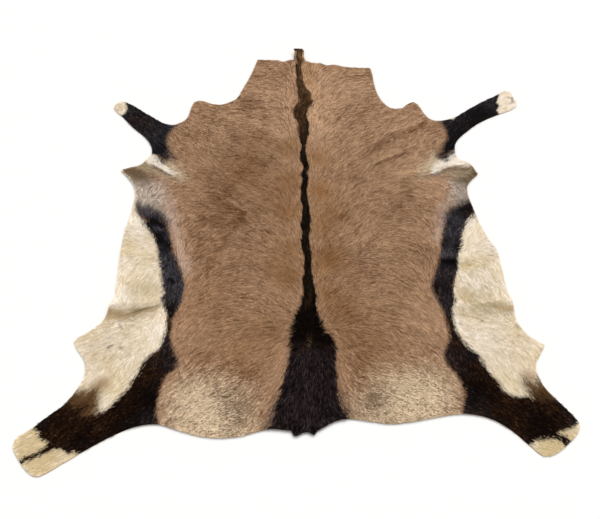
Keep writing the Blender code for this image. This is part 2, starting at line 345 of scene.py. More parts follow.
# How soon a sweep takes over from the rows
SWEEP_PULL = 1.4

# Where the back's hair parts in a whorl, at the top of the blaze, and how far that is felt
WHORL = (0.029, -0.424)
WHORL_REACH = 0.060

# Everywhere the lie wanders a little to both sides, by about this angle and over about this length
WANDER = math.radians(6)
WANDER_REACH = 0.011

# A mark of the coat: how soft its border is, how far single hairs stray over it, and its border's turns,
# which are in millimetres.
Zone = namedtuple("Zone", "soft stray turns")

# The black side stripes, which run on into the hind legs, and their soft upper ends
LEFT_STRIPE_AND_LEG = [
    (-527, 24), (-509, -14), (-486, -45), (-473, -92), (-459, -150), (-449, -202), (-438, -257),
    (-439, -282), (-422, -329), (-416, -368), (-424, -409), (-437, -449), (-471, -479), (-489, -522),
    (-507, -560), (-518, -582), (-548, -614), (-571, -635), (-600, -655), (-644, -657), (-702, -659),
    (-745, -640), (-798, -672), (-775, -698), (-755, -712), (-754, -725), (-726, -741), (-734, -756),
    (-760, -773), (-794, -789), (-795, -801), (-774, -789), (-724, -769), (-694, -758), (-661, -770),
    (-648, -764), (-629, -773), (-585, -765), (-503, -733), (-414, -701), (-419, -663), (-423, -620),
    (-418, -579), (-403, -533), (-372, -494), (-398, -429), (-405, -395), (-398, -340), (-380, -287),
    (-374, -228), (-389, -165), (-418, -96), (-439, -25), (-454, 16), (-480, 36), (-508, 36),
]
LEFT_STRIPE_TOP = [
    (-565, 104), (-543, 82), (-523, 89), (-498, 78), (-472, 59), (-452, 24), (-444, -25), (-476, -41),
    (-506, -8), (-535, 36), (-555, 62),
]
RIGHT_STRIPE_AND_LEG = [
    (507, 45), (491, 8), (478, -41), (470, -83), (458, -128), (434, -195), (429, -239), (452, -308),
    (465, -368), (465, -409), (444, -463), (454, -502), (475, -528), (488, -560), (491, -598), (483, -632),
    (488, -659), (583, -692), (655, -751), (677, -734), (738, -730), (767, -749), (780, -739), (775, -719),
    (754, -708), (775, -703), (798, -692), (805, -685), (857, -659), (818, -604), (726, -614), (701, -607),
    (679, -598), (654, -601), (617, -590), (596, -552), (572, -515), (547, -459), (520, -441), (494, -395),
    (484, -330), (500, -276), (497, -225), (521, -151), (521, -128), (535, -84), (549, -25), (566, 20),
    (583, 53), (564, 65), (536, 61),
]
RIGHT_STRIPE_TOP = [
    (630, 112), (576, 112), (547, 99), (518, 82), (501, 49), (491, 0), (525, -8), (558, 16), (575, 41),
    (620, 60),
]
# The black of the front legs
LEFT_FRONT_LEG = [
    (-661, 598), (-650, 541), (-655, 521), (-694, 468), (-646, 410), (-588, 349), (-552, 321), (-515, 315),
    (-493, 315), (-483, 324), (-491, 366), (-489, 404), (-472, 449), (-453, 473), (-567, 573),
]
RIGHT_FRONT_LEG = [
    (527, 493), (541, 447), (547, 418), (545, 390), (532, 362), (521, 338), (529, 329), (549, 346),
    (584, 335), (611, 377), (673, 434), (754, 483), (750, 510), (741, 531), (756, 556), (745, 568),
    (759, 605), (764, 639), (687, 603), (613, 557), (589, 522), (578, 490), (571, 480), (564, 488),
    (560, 522),
]
# Where the front legs' black ends in a soft fade
LEFT_LEG_END = [
    (-544, 354), (-530, 323), (-509, 296), (-488, 273), (-475, 283), (-467, 299), (-449, 301), (-469, 324),
    (-486, 357), (-515, 357),
]
RIGHT_LEG_END = [
    (525, 357), (509, 329), (499, 313), (509, 304), (522, 292), (535, 311), (555, 332), (571, 342),
    (551, 362),
]
# The white belly, and the pale ends of the hind and front legs
LEFT_BELLY = [
    (-649, 262), (-625, 237), (-595, 199), (-579, 171), (-569, 143), (-564, 117), (-564, 91), (-557, 62),
    (-542, 41), (-508, 12), (-465, -88), (-428, -202), (-411, -382), (-426, -483), (-478, -563),
    (-530, -626), (-596, -687), (-697, -687), (-829, -610), (-749, -381), (-671, -164), (-631, 117),
]
RIGHT_BELLY = [
    (604, 105), (592, 83), (590, 66), (576, 49), (559, 24), (541, -16), (520, -89), (504, -202),
    (476, -312), (479, -433), (542, -548), (606, -626), (691, -647), (765, -647), (844, -547), (814, -381),
    (722, -164), (652, 54),
]
LEFT_TIP = [
    (-587, -731), (-730, -671), (-850, -656), (-864, -730), (-817, -817), (-723, -872), (-592, -817),
]
RIGHT_TIP = [(639, -701), (734, -657), (855, -641), (860, -730), (735, -817), (628, -774)]
LEFT_HOOF = [(-620, 620), (-630, 500), (-680, 460), (-760, 530), (-700, 630)]
RIGHT_HOOF = [
    (767, 645), (755, 605), (741, 568), (752, 556), (737, 531), (746, 508), (753, 478), (802, 483),
    (853, 542), (844, 634), (801, 655),
]
# The armpits: white in the folds, and pale beside them
LEFT_ARMPIT_STREAK = [
    (-541, 336), (-523, 321), (-508, 307), (-495, 288), (-482, 268), (-466, 249), (-449, 237), (-434, 223),
    (-452, 220), (-470, 230), (-497, 247), (-523, 263), (-550, 277), (-550, 307),
]
LEFT_ARMPIT_PALE = [
    (-490, 289), (-473, 291), (-450, 273), (-426, 245), (-405, 213), (-429, 205), (-456, 226), (-482, 254),
]
RIGHT_ARMPIT_LENS = [
    (577, 354), (552, 338), (536, 320), (520, 301), (502, 290), (484, 276), (470, 254), (466, 235),
    (476, 225), (494, 233), (516, 250), (542, 257), (581, 260), (606, 259), (613, 303), (581, 340),
]
RIGHT_ARMPIT_PALE = [
    (485, 324), (505, 301), (517, 287), (495, 276), (471, 255), (455, 231), (429, 215), (427, 243),
    (456, 278), (473, 306),
]
# Pale hair in the notch at the top of the right front leg's black
LEG_NOTCH = [(545, 465), (595, 465), (610, 530), (545, 530)]
# The briskets: grey, sooty at their points, and olive towards the armpits
LEFT_BRISKET = [
    (-609, 221), (-586, 208), (-557, 203), (-528, 203), (-506, 189), (-495, 155), (-481, 116), (-468, 82),
    (-449, 32), (-483, 32), (-513, 53), (-540, 49), (-568, 58), (-582, 117), (-592, 173),
]
RIGHT_BRISKET = [
    (537, 198), (556, 211), (577, 212), (596, 186), (595, 152), (597, 109), (593, 75), (557, 65), (527, 74),
    (524, 108), (525, 150),
]
LEFT_BRISKET_POINT = [
    (-648, 248), (-620, 255), (-593, 266), (-564, 266), (-543, 242), (-530, 216), (-538, 196), (-563, 194),
    (-584, 197), (-616, 222),
]
RIGHT_BRISKET_POINT = [
    (566, 246), (588, 254), (610, 259), (640, 231), (615, 200), (591, 178), (571, 185), (552, 203),
    (550, 228),
]
LEFT_OLIVE = [
    (-592, 262), (-572, 292), (-545, 300), (-528, 276), (-510, 257), (-489, 241), (-466, 226), (-448, 214),
    (-469, 209), (-501, 216), (-531, 232), (-560, 246),
]
RIGHT_OLIVE = [
    (509, 242), (531, 254), (556, 259), (585, 260), (602, 264), (612, 240), (596, 220), (567, 216),
    (536, 220), (511, 224),
]
# The hind legs turn from white through tan and brown to black
LEFT_LEG_TAN = [
    (-625, -567), (-612, -552), (-595, -544), (-576, -548), (-577, -563), (-587, -578), (-601, -586),
    (-619, -582),
]
LEFT_LEG_BROWN = [
    (-731, -559), (-687, -575), (-653, -579), (-632, -578), (-615, -571), (-603, -570), (-595, -586),
    (-596, -601), (-594, -617), (-592, -632), (-592, -650), (-591, -702), (-648, -708), (-725, -696),
    (-776, -610),
]
LEFT_LEG_BLACK = [
    (-773, -628), (-753, -604), (-724, -604), (-680, -613), (-649, -620), (-628, -623), (-626, -638),
    (-633, -654), (-628, -684), (-707, -702), (-739, -684),
]
RIGHT_LEG_TAN = [(665, -528), (684, -523), (702, -528), (715, -541), (704, -554), (683, -554), (669, -544)]
RIGHT_LEG_BROWN = [
    (676, -538), (693, -548), (710, -552), (762, -534), (798, -566), (814, -641), (738, -666), (704, -660),
    (681, -641), (680, -611), (679, -595), (676, -576), (670, -557),
]
RIGHT_LEG_BLACK = [
    (699, -598), (716, -590), (739, -591), (784, -575), (830, -616), (783, -678), (717, -672), (692, -641),
    (690, -617),
]
# Painted shade on the steep side of the belly's folds, which faces away from the light
LEFT_FOLD_SHADE = [
    (-623, -300), (-596, -310), (-562, -318), (-537, -325), (-514, -314), (-497, -307), (-462, -300),
    (-438, -292), (-443, -304), (-461, -315), (-489, -321), (-513, -325), (-537, -337), (-561, -344),
    (-591, -343), (-630, -339),
]
RIGHT_FOLD_SHADE = [
    (572, -297), (590, -301), (625, -299), (657, -300), (702, -295), (705, -316), (675, -317), (650, -315),
    (625, -309), (590, -303),
]
# Where the belly's hair is short and thin
LEFT_SHORT = [
    (-640, -300), (-540, -320), (-430, -300), (-445, -380), (-490, -450), (-540, -500), (-600, -530),
    (-680, -560), (-820, -560), (-840, -380), (-720, -300),
]
RIGHT_SHORT = [
    (500, -310), (580, -310), (670, -300), (760, -300), (870, -420), (840, -560), (740, -530), (680, -470),
    (600, -430), (540, -390),
]
# The pinkish fringe along the stripes
LEFT_FRINGE = [
    (-494, 207), (-462, 163), (-435, 99), (-414, 28), (-396, -45), (-380, -108), (-360, -170), (-385, -170),
    (-418, -75), (-448, 4), (-470, 70), (-500, 130),
]
RIGHT_FRINGE = [(519, 130), (520, 66), (492, 10), (478, -45), (452, -45), (466, 28), (486, 86)]
# The cream of the rump, and where dark hairs speckle it
LEFT_RUMP = [
    (-392, -690), (-388, -608), (-376, -577), (-340, -553), (-287, -546), (-225, -560), (-182, -580),
    (-154, -608), (-140, -658), (-146, -730), (-202, -750), (-303, -750), (-390, -720),
]
RIGHT_RUMP = [
    (158, -700), (170, -620), (211, -570), (267, -545), (334, -530), (405, -524), (435, -540), (454, -577),
    (458, -624), (452, -690), (383, -700), (260, -710),
]
LEFT_SPECKLE = [(-250, -590), (-200, -580), (-156, -612), (-144, -680), (-190, -700), (-236, -650)]
RIGHT_SPECKLE = [(184, -600), (230, -580), (262, -610), (236, -650), (190, -650)]
# The dark blaze on the rump
BLAZE = [
    (12, -269), (11, -292), (-5, -319), (-19, -368), (-27, -423), (-25, -470), (-34, -509), (-43, -548),
    (-51, -586), (-60, -620), (-69, -657), (-86, -701), (-42, -736), (102, -725), (147, -683), (130, -659),
    (110, -623), (105, -586), (108, -541), (103, -473), (103, -426), (79, -390), (62, -344), (47, -298),
    (51, -269),
]

# Places by the blaze's lower corners where dark hairs are mixed with brown ones
LEFT_BLAZE_EDGE = [(-46, -600), (-58, -600), (-68, -630), (-82, -665), (-92, -700), (-60, -690)]
RIGHT_BLAZE_EDGE = [(100, -570), (110, -575), (122, -610), (142, -645), (150, -690), (100, -680)]
# Where the black of the front legs thins out into the brown of the shoulders
LEFT_SHOULDER_EDGE = [
    (-476, 326), (-484, 366), (-482, 404), (-464, 449), (-446, 470), (-480, 490), (-515, 450), (-520, 380),
    (-510, 330),
]
RIGHT_SHOULDER_EDGE = [
    (515, 505), (534, 447), (540, 418), (538, 390), (524, 362), (560, 362), (570, 400), (572, 450),
    (552, 500),
]

ZONES = {
    "white": [
        Zone(0.004, 0.003, LEFT_BELLY), Zone(0.004, 0.003, RIGHT_BELLY),
        Zone(0.004, 0.002, LEFT_TIP), Zone(0.004, 0.002, RIGHT_TIP),
        Zone(0.003, 0.001, LEFT_HOOF), Zone(0.003, 0.001, RIGHT_HOOF),
        Zone(0.011, 0.003, LEFT_ARMPIT_STREAK), Zone(0.020, 0.004, RIGHT_ARMPIT_LENS),
    ],
    "pale": [
        Zone(0.050, 0.008, LEFT_ARMPIT_PALE), Zone(0.050, 0.008, RIGHT_ARMPIT_PALE),
        Zone(0.030, 0.004, LEG_NOTCH),
    ],
    # Painted shade on the steep side of the belly's folds
    "fold_shade": [Zone(0.009, 0.002, LEFT_FOLD_SHADE), Zone(0.007, 0.002, RIGHT_FOLD_SHADE)],
    "short": [Zone(0.050, 0.000, LEFT_SHORT), Zone(0.050, 0.000, RIGHT_SHORT)],
    "tan": [Zone(0.030, 0.008, LEFT_LEG_TAN), Zone(0.030, 0.008, RIGHT_LEG_TAN)],
    "brown": [
        Zone(0.022, 0.010, LEFT_LEG_BROWN), Zone(0.026, 0.010, RIGHT_LEG_BROWN),
    ],
    "black": [
        Zone(0.006, 0.006, LEFT_STRIPE_AND_LEG), Zone(0.006, 0.006, RIGHT_STRIPE_AND_LEG),
        Zone(0.050, 0.014, LEFT_STRIPE_TOP), Zone(0.044, 0.014, RIGHT_STRIPE_TOP),
        Zone(0.050, 0.022, LEFT_LEG_BLACK), Zone(0.050, 0.022, RIGHT_LEG_BLACK),
        Zone(0.006, 0.003, LEFT_FRONT_LEG), Zone(0.005, 0.002, RIGHT_FRONT_LEG),
        Zone(0.034, 0.015, LEFT_LEG_END), Zone(0.032, 0.015, RIGHT_LEG_END),
        Zone(0.020, 0.010, BLAZE), Zone(0.030, 0.022, LEFT_BLAZE_EDGE), Zone(0.030, 0.022, RIGHT_BLAZE_EDGE),
        Zone(0.030, 0.008, LEFT_SHOULDER_EDGE), Zone(0.030, 0.008, RIGHT_SHOULDER_EDGE),
    ],
    "grey": [
        Zone(0.044, 0.012, LEFT_BRISKET), Zone(0.044, 0.012, RIGHT_BRISKET),
    ],
    "sooty": [
        Zone(0.060, 0.010, LEFT_BRISKET_POINT), Zone(0.060, 0.010, RIGHT_BRISKET_POINT),
    ],
    "olive": [Zone(0.020, 0.006, LEFT_OLIVE), Zone(0.026, 0.006, RIGHT_OLIVE)],
    "fringe": [Zone(0.040, 0.010, LEFT_FRINGE), Zone(0.034, 0.010, RIGHT_FRINGE)],
    "rump": [Zone(0.110, 0.022, LEFT_RUMP), Zone(0.120, 0.022, RIGHT_RUMP)],
    "speckle": [Zone(0.080, 0.020, LEFT_SPECKLE), Zone(0.070, 0.020, RIGHT_SPECKLE)],
}

# Soft patches, each a place, a reach and an amount. Here the coat is darker than around it, or paler
# where the amount is below nothing.
BACK_PATCHES = [
    (-0.300, 0.200, 0.110, 0.35), (-0.250, 0.060, 0.080, 0.40), (-0.170, 0.330, 0.120, 0.30),
    (-0.330, -0.060, 0.090, 0.25), (-0.200, 0.540, 0.050, 0.45), (-0.400, 0.420, 0.060, 0.15),
    (-0.090, 0.620, 0.080, -0.20), (-0.060, 0.470, 0.060, -0.35), (0.110, 0.560, 0.080, -0.35),
    (0.080, 0.700, 0.060, -0.20), (0.230, 0.450, 0.110, 0.15), (0.300, 0.620, 0.060, 0.10),
    (0.330, 0.100, 0.110, 0.15), (0.110, -0.090, 0.050, 0.40), (0.180, -0.170, 0.070, 0.35),
    (0.130, -0.300, 0.050, 0.40), (-0.070, -0.300, 0.050, 0.35), (-0.120, -0.370, 0.050, 0.30),
    (0.280, -0.280, 0.100, 0.20), (0.380, -0.100, 0.070, 0.25), (-0.260, -0.260, 0.110, 0.15),
    (-0.330, -0.400, 0.060, -0.25), (-0.200, -0.480, 0.070, 0.20), (0.250, -0.430, 0.090, 0.10),
    (0.430, -0.350, 0.060, -0.15), (-0.450, 0.330, 0.060, -0.05), (-0.170, 0.160, 0.160, 0.20),
    (-0.180, -0.060, 0.160, 0.20), (-0.320, 0.060, 0.060, 0.20), (0.120, 0.060, 0.090, 0.25),
    (0.140, -0.360, 0.080, 0.40), (-0.070, -0.400, 0.060, 0.40), (0.020, -0.160, 0.100, 0.30),
    (-0.290, -0.200, 0.080, 0.20), (-0.140, -0.520, 0.060, 0.30), (-0.300, -0.490, 0.120, 0.30),
    (0.200, -0.480, 0.080, 0.30), (0.440, -0.560, 0.050, 0.20), (-0.076, 0.425, 0.050, -0.30),
    (0.060, 0.620, 0.040, -0.30), (0.070, 0.440, 0.060, -0.55), (0.090, 0.320, 0.040, -0.25),
    (0.200, 0.640, 0.080, -0.25), (0.260, 0.480, 0.080, -0.20), (0.480, 0.160, 0.070, -0.35),
    (0.440, 0.270, 0.060, -0.30), (0.500, 0.090, 0.040, -0.20), (0.255, 0.354, 0.120, -0.16),
    (0.180, 0.630, 0.100, -0.12), (-0.045, 0.100, 0.090, 0.20), (0.360, -0.330, 0.100, -0.14),
    (0.055, 0.640, 0.034, -0.30), (0.070, 0.540, 0.036, -0.35), (0.060, 0.470, 0.034, -0.30),
    (-0.060, 0.560, 0.040, -0.20), (0.340, 0.420, 0.050, -0.15), (0.245, 0.360, 0.030, 0.30),
    (0.300, 0.330, 0.040, 0.20), (-0.440, 0.560, 0.060, 0.15), (0.100, -0.080, 0.030, 0.35),
    (0.045, 0.500, 0.030, -0.30), (0.035, 0.700, 0.030, -0.20), (0.187, -0.548, 0.050, 0.45),
    (-0.194, -0.540, 0.060, 0.25), (-0.150, -0.620, 0.060, 0.25), (0.192, 0.220, 0.026, 0.40),
    (0.187, 0.269, 0.018, 0.22), (0.197, 0.150, 0.020, 0.30), (0.138, 0.053, 0.028, 0.26),
    (0.193, -0.016, 0.022, 0.30), (0.376, 0.116, 0.020, 0.22), (-0.188, 0.256, 0.050, 0.12),
    (0.112, 0.457, 0.034, -0.18),
]
# Where the rump is more cream, or browner where the amount is below nothing
RUMP_PATCHES = [
    (-0.279, -0.640, 0.080, 0.45), (-0.345, -0.585, 0.050, 0.15), (-0.236, -0.690, 0.060, 0.20),
    (-0.262, -0.567, 0.050, -0.15), (-0.200, -0.620, 0.050, -0.20), (0.341, -0.635, 0.080, 0.45),
    (0.310, -0.560, 0.050, 0.25), (0.417, -0.600, 0.050, 0.15), (0.186, -0.548, 0.045, -0.45),
    (0.240, -0.670, 0.040, 0.15), (0.215, -0.605, 0.026, -0.15), (-0.166, -0.618, 0.036, -0.10),
]
# Places where the speckled rump has more of the dark hairs
PEPPER_PATCHES = [(0.215, -0.605, 0.028, 0.45), (-0.166, -0.618, 0.040, 0.30)]
# Where hair that stands away from the light is dimmer, or brighter where the amount is below nothing
DIM_PATCHES = [
    (-0.500, -0.235, 0.050, 0.18), (-0.460, -0.255, 0.040, 0.24), (0.530, -0.265, 0.050, 0.16),
    (-0.590, -0.480, 0.120, 0.14), (0.600, -0.290, 0.050, 0.08), (0.605, 0.245, 0.035, 0.22),
    (0.635, 0.232, 0.030, 0.40), (-0.520, -0.316, 0.044, 0.30), (-0.530, -0.262, 0.044, 0.24),
    (0.580, 0.000, 0.080, -0.10), (-0.610, -0.420, 0.120, 0.14), (0.590, -0.290, 0.070, 0.16),
    (0.640, -0.420, 0.110, 0.08), (-0.740, -0.770, 0.090, 0.14), (0.750, -0.750, 0.080, 0.14),
    (-0.700, 0.550, 0.050, 0.06), (0.800, 0.570, 0.060, -0.20), (0.410, -0.640, 0.090, -0.10),
]
# Golden hair on both sides of the mane
GOLD_PATCHES = [
    (-0.040, 0.340, 0.060, 0.50), (-0.035, 0.200, 0.055, 0.60), (0.070, 0.300, 0.050, 0.60),
    (0.070, 0.160, 0.055, 0.70), (-0.035, 0.060, 0.050, 0.50), (0.075, 0.000, 0.050, 0.50),
    (-0.035, -0.080, 0.050, 0.50), (0.080, -0.130, 0.050, 0.50), (-0.035, -0.200, 0.050, 0.50),
    (0.085, -0.250, 0.050, 0.50), (0.040, 0.720, 0.030, 0.60), (0.036, 0.660, 0.026, 0.50),
    (-0.140, 0.400, 0.070, 0.30), (-0.200, 0.240, 0.090, 0.30), (0.026, 0.790, 0.026, 0.90),
    (0.110, 0.060, 0.070, 0.40), (0.120, -0.120, 0.070, 0.40), (-0.080, -0.160, 0.070, 0.40),
    (0.200, -0.420, 0.130, 0.30), (-0.150, -0.420, 0.130, 0.30), (-0.300, -0.300, 0.120, 0.20),
    (0.020, 0.560, 0.030, 0.40), (-0.080, 0.120, 0.080, 0.30), (0.140, -0.300, 0.080, 0.30),
]
# Where the black coat shows more painted sheen, or less where the amount is below nothing
ASH_PATCHES = [
    (-0.520, 0.070, 0.030, 0.30), (-0.470, -0.030, 0.020, 0.10), (-0.425, -0.140, 0.050, 0.14),
    (-0.430, -0.190, 0.036, 0.16), (-0.405, -0.270, 0.040, 0.16), (0.484, -0.115, 0.026, 0.30),
    (0.510, 0.020, 0.050, 0.16), (0.504, -0.030, 0.030, 0.12), (0.470, -0.190, 0.040, 0.08),
    (0.755, -0.618, 0.030, 0.25), (0.570, -0.476, 0.026, 0.14), (-0.690, -0.725, 0.050, 0.10),
    (-0.600, 0.470, 0.100, -0.05), (0.660, 0.450, 0.120, -0.24), (0.030, -0.540, 0.110, 0.10),
    (-0.590, -0.690, 0.050, 0.08),
]
# Where the belly is more golden than white, or whiter where the amount is below nothing
CREAM_PATCHES = [
    (-0.575, -0.085, 0.040, 0.40), (-0.530, -0.110, 0.040, 0.20), (-0.550, -0.200, 0.050, 0.20),
    (-0.560, 0.030, 0.040, -0.25), (-0.600, -0.280, 0.030, -0.50), (-0.550, -0.280, 0.034, -0.25),
    (-0.610, -0.420, 0.110, -0.16), (-0.600, -0.330, 0.030, 0.20), (-0.520, -0.322, 0.020, 0.20),
    (-0.470, -0.310, 0.016, 0.40), (-0.640, -0.400, 0.070, 0.15), (-0.450, -0.380, 0.040, -0.30),
    (-0.560, -0.570, 0.060, 0.25), (-0.740, -0.560, 0.050, 0.10), (0.560, 0.030, 0.030, -0.20),
    (0.640, -0.075, 0.030, -0.25), (0.560, -0.150, 0.030, 0.55), (0.620, -0.140, 0.050, 0.20),
    (0.600, -0.200, 0.040, -0.05), (0.530, -0.270, 0.030, 0.30), (0.640, -0.305, 0.026, 0.20),
    (0.570, -0.310, 0.030, 0.15), (0.500, -0.350, 0.020, -0.30), (0.580, -0.400, 0.060, -0.15),
    (0.690, -0.400, 0.050, 0.20), (0.630, -0.550, 0.060, 0.25), (0.700, -0.480, 0.050, 0.15),
    (-0.740, -0.770, 0.090, 0.80), (0.750, -0.750, 0.080, 1.00), (-0.490, 0.270, 0.070, -0.60),
    (0.550, 0.290, 0.070, -0.60), (0.480, 0.235, 0.040, -0.40), (0.800, 0.570, 0.050, -0.05),
    (-0.700, 0.550, 0.050, 0.20),
]
# Where the black coat is darker than around it
DEEP_PATCHES = [
    (-0.513, 0.024, 0.022, 1.0), (-0.478, -0.036, 0.024, 0.9), (-0.418, -0.206, 0.014, 0.4),
    (-0.406, -0.305, 0.026, 0.8), (-0.500, 0.340, 0.030, 0.9), (0.540, 0.350, 0.030, 0.8),
    (0.494, -0.136, 0.024, 0.8), (0.487, -0.052, 0.020, 0.6), (0.532, -0.072, 0.016, 0.7),
    (0.570, 0.080, 0.024, 0.7), (0.444, -0.221, 0.018, 0.6), (0.476, -0.230, 0.024, 0.5),
    (-0.450, -0.610, 0.060, 0.8), (-0.500, -0.700, 0.050, 0.6), (0.530, -0.580, 0.060, 0.8),
    (0.700, -0.690, 0.050, 0.7), (-0.630, -0.735, 0.040, 0.7), (0.000, -0.400, 0.040, 0.8),
    (0.080, -0.420, 0.030, 0.8), (0.020, -0.340, 0.040, 0.8), (0.020, -0.720, 0.060, 0.5),
    (0.680, 0.500, 0.060, 0.6), (0.580, 0.400, 0.050, 0.6),
]
# Where the black coat is brown more than charcoal
WARM_PATCHES = [
    (-0.470, -0.540, 0.150, 1.0), (-0.600, -0.680, 0.150, 1.0), (-0.700, -0.660, 0.120, 0.8),
    (0.540, -0.520, 0.130, 0.9), (0.640, -0.650, 0.130, 1.0), (0.740, -0.620, 0.120, 0.8),
    (-0.420, -0.350, 0.070, 0.9), (0.470, -0.380, 0.090, 0.8), (0.040, -0.380, 0.090, 0.9),
    (0.110, -0.680, 0.050, 0.7), (0.590, 0.080, 0.040, 0.8), (0.030, -0.580, 0.160, 0.6),
    (0.450, -0.200, 0.120, 0.5), (-0.760, -0.770, 0.060, 0.8), (0.760, -0.740, 0.060, 0.8),
    (0.640, 0.440, 0.140, 0.4), (-0.600, 0.480, 0.100, 0.5),
]

# Short lines, each with its two ends, its width and how strong it is, and paler where that is below nothing.
# These are deep lines in the black coat: the one across the right stripe is painted shade in its crease, and
# the paler band on its neck side is a painted highlight.
DEEP_LINES = [
    (0.440, -0.128, 0.526, -0.140, 0.007, 1.3), (0.448, -0.104, 0.534, -0.116, 0.012, -0.7),
    (-0.500, 0.030, -0.470, 0.014, 0.010, 0.9), (-0.486, -0.040, -0.440, -0.070, 0.014, 1.0),
    (-0.424, -0.198, -0.408, -0.212, 0.006, 0.7),
]
# The back's lines: first a chestnut mark on the left, bent like an arrow's head, with its faint tail, and
# then dark lines of painted shade in the right shoulder's creases and by its armpit, with pale lines of
# painted light beside them, and short strokes on the upper back
BACK_LINES = [
    (-0.284, 0.120, -0.237, 0.095, 0.012, 0.34), (-0.237, 0.095, -0.195, 0.065, 0.011, 0.36),
    (-0.195, 0.065, -0.210, 0.016, 0.013, 0.42), (-0.210, 0.016, -0.242, -0.029, 0.012, 0.36),
    (-0.242, -0.029, -0.272, -0.088, 0.011, 0.35), (-0.272, -0.088, -0.296, -0.134, 0.013, 0.50),
    (-0.296, -0.134, -0.305, -0.184, 0.011, 0.30), (0.254, 0.324, 0.331, 0.394, 0.014, 0.67),
    (0.331, 0.394, 0.418, 0.433, 0.018, 0.65), (0.418, 0.433, 0.465, 0.466, 0.016, 0.58),
    (0.343, 0.423, 0.459, 0.481, 0.010, -0.45), (0.276, 0.269, 0.325, 0.297, 0.008, 0.52),
    (0.325, 0.297, 0.388, 0.324, 0.008, 0.50), (0.270, 0.285, 0.355, 0.327, 0.008, -0.42),
    (0.356, 0.229, 0.490, 0.256, 0.013, -0.90), (0.426, 0.216, 0.516, 0.234, 0.006, 0.65),
    (0.400, 0.203, 0.519, 0.194, 0.012, -0.52), (0.224, 0.301, 0.254, 0.324, 0.010, 0.54),
    (0.299, 0.357, 0.377, 0.329, 0.010, -0.10), (-0.174, 0.476, -0.065, 0.409, 0.014, -0.48),
    (-0.219, 0.306, -0.128, 0.283, 0.018, 0.39), (-0.280, 0.116, -0.240, 0.086, 0.013, 0.48),
    (-0.235, 0.112, -0.192, 0.074, 0.010, -0.39), (-0.137, 0.352, -0.049, 0.292, 0.012, -0.33),
    (0.110, 0.338, 0.151, 0.394, 0.012, 0.20), (0.158, 0.385, 0.193, 0.447, 0.010, 0.22),
    (0.120, 0.292, 0.167, 0.329, 0.010, 0.22),
]
# Small scars, veins and scratches in the pale belly, where the hair is darker, and painted shade: the folds'
# own lines, the lines that run into the armpits, and the slit in the right front leg's end
SCAR_AND_SHADE_LINES = [
    (-0.587, -0.434, -0.592, -0.442, 0.0030, 0.85), (-0.588, -0.434, -0.578, -0.433, 0.0026, 0.70),
    (-0.556, -0.438, -0.550, -0.444, 0.0036, 0.60), (-0.570, -0.357, -0.554, -0.378, 0.0022, 0.45),
    (-0.547, -0.340, -0.524, -0.350, 0.0022, 0.35), (-0.609, -0.416, -0.583, -0.404, 0.0020, 0.25),
    (-0.526, -0.364, -0.492, -0.382, 0.0020, 0.25), (-0.544, -0.329, -0.526, -0.324, 0.0030, 0.40),
    (-0.526, -0.324, -0.505, -0.314, 0.0032, 0.55), (-0.505, -0.314, -0.483, -0.308, 0.0026, 0.50),
    (-0.483, -0.308, -0.444, -0.295, 0.0026, 0.45), (-0.586, -0.356, -0.530, -0.335, 0.0026, 0.40),
    (-0.530, -0.335, -0.501, -0.319, 0.0026, 0.45), (-0.501, -0.319, -0.461, -0.315, 0.0024, 0.30),
    (0.497, -0.326, 0.556, -0.338, 0.0022, 0.28), (0.556, -0.338, 0.606, -0.343, 0.0022, 0.22),
    (0.611, -0.419, 0.640, -0.411, 0.0024, 0.30), (0.657, -0.419, 0.670, -0.439, 0.0024, 0.22),
    (0.503, -0.357, 0.506, -0.361, 0.0034, 0.60), (0.574, -0.347, 0.576, -0.350, 0.0032, 0.50),
    (0.678, -0.364, 0.684, -0.371, 0.0040, 0.45), (0.793, 0.597, 0.807, 0.592, 0.0050, 0.45),
    (0.472, 0.224, 0.530, 0.245, 0.0040, 0.35), (0.530, 0.245, 0.600, 0.250, 0.0050, 0.40),
    (-0.522, 0.262, -0.456, 0.218, 0.0040, 0.35), (0.400, 0.205, 0.472, 0.224, 0.0030, 0.22),
    (0.807, 0.592, 0.808, 0.572, 0.0055, 0.60), (0.808, 0.572, 0.793, 0.564, 0.0040, 0.45),
]

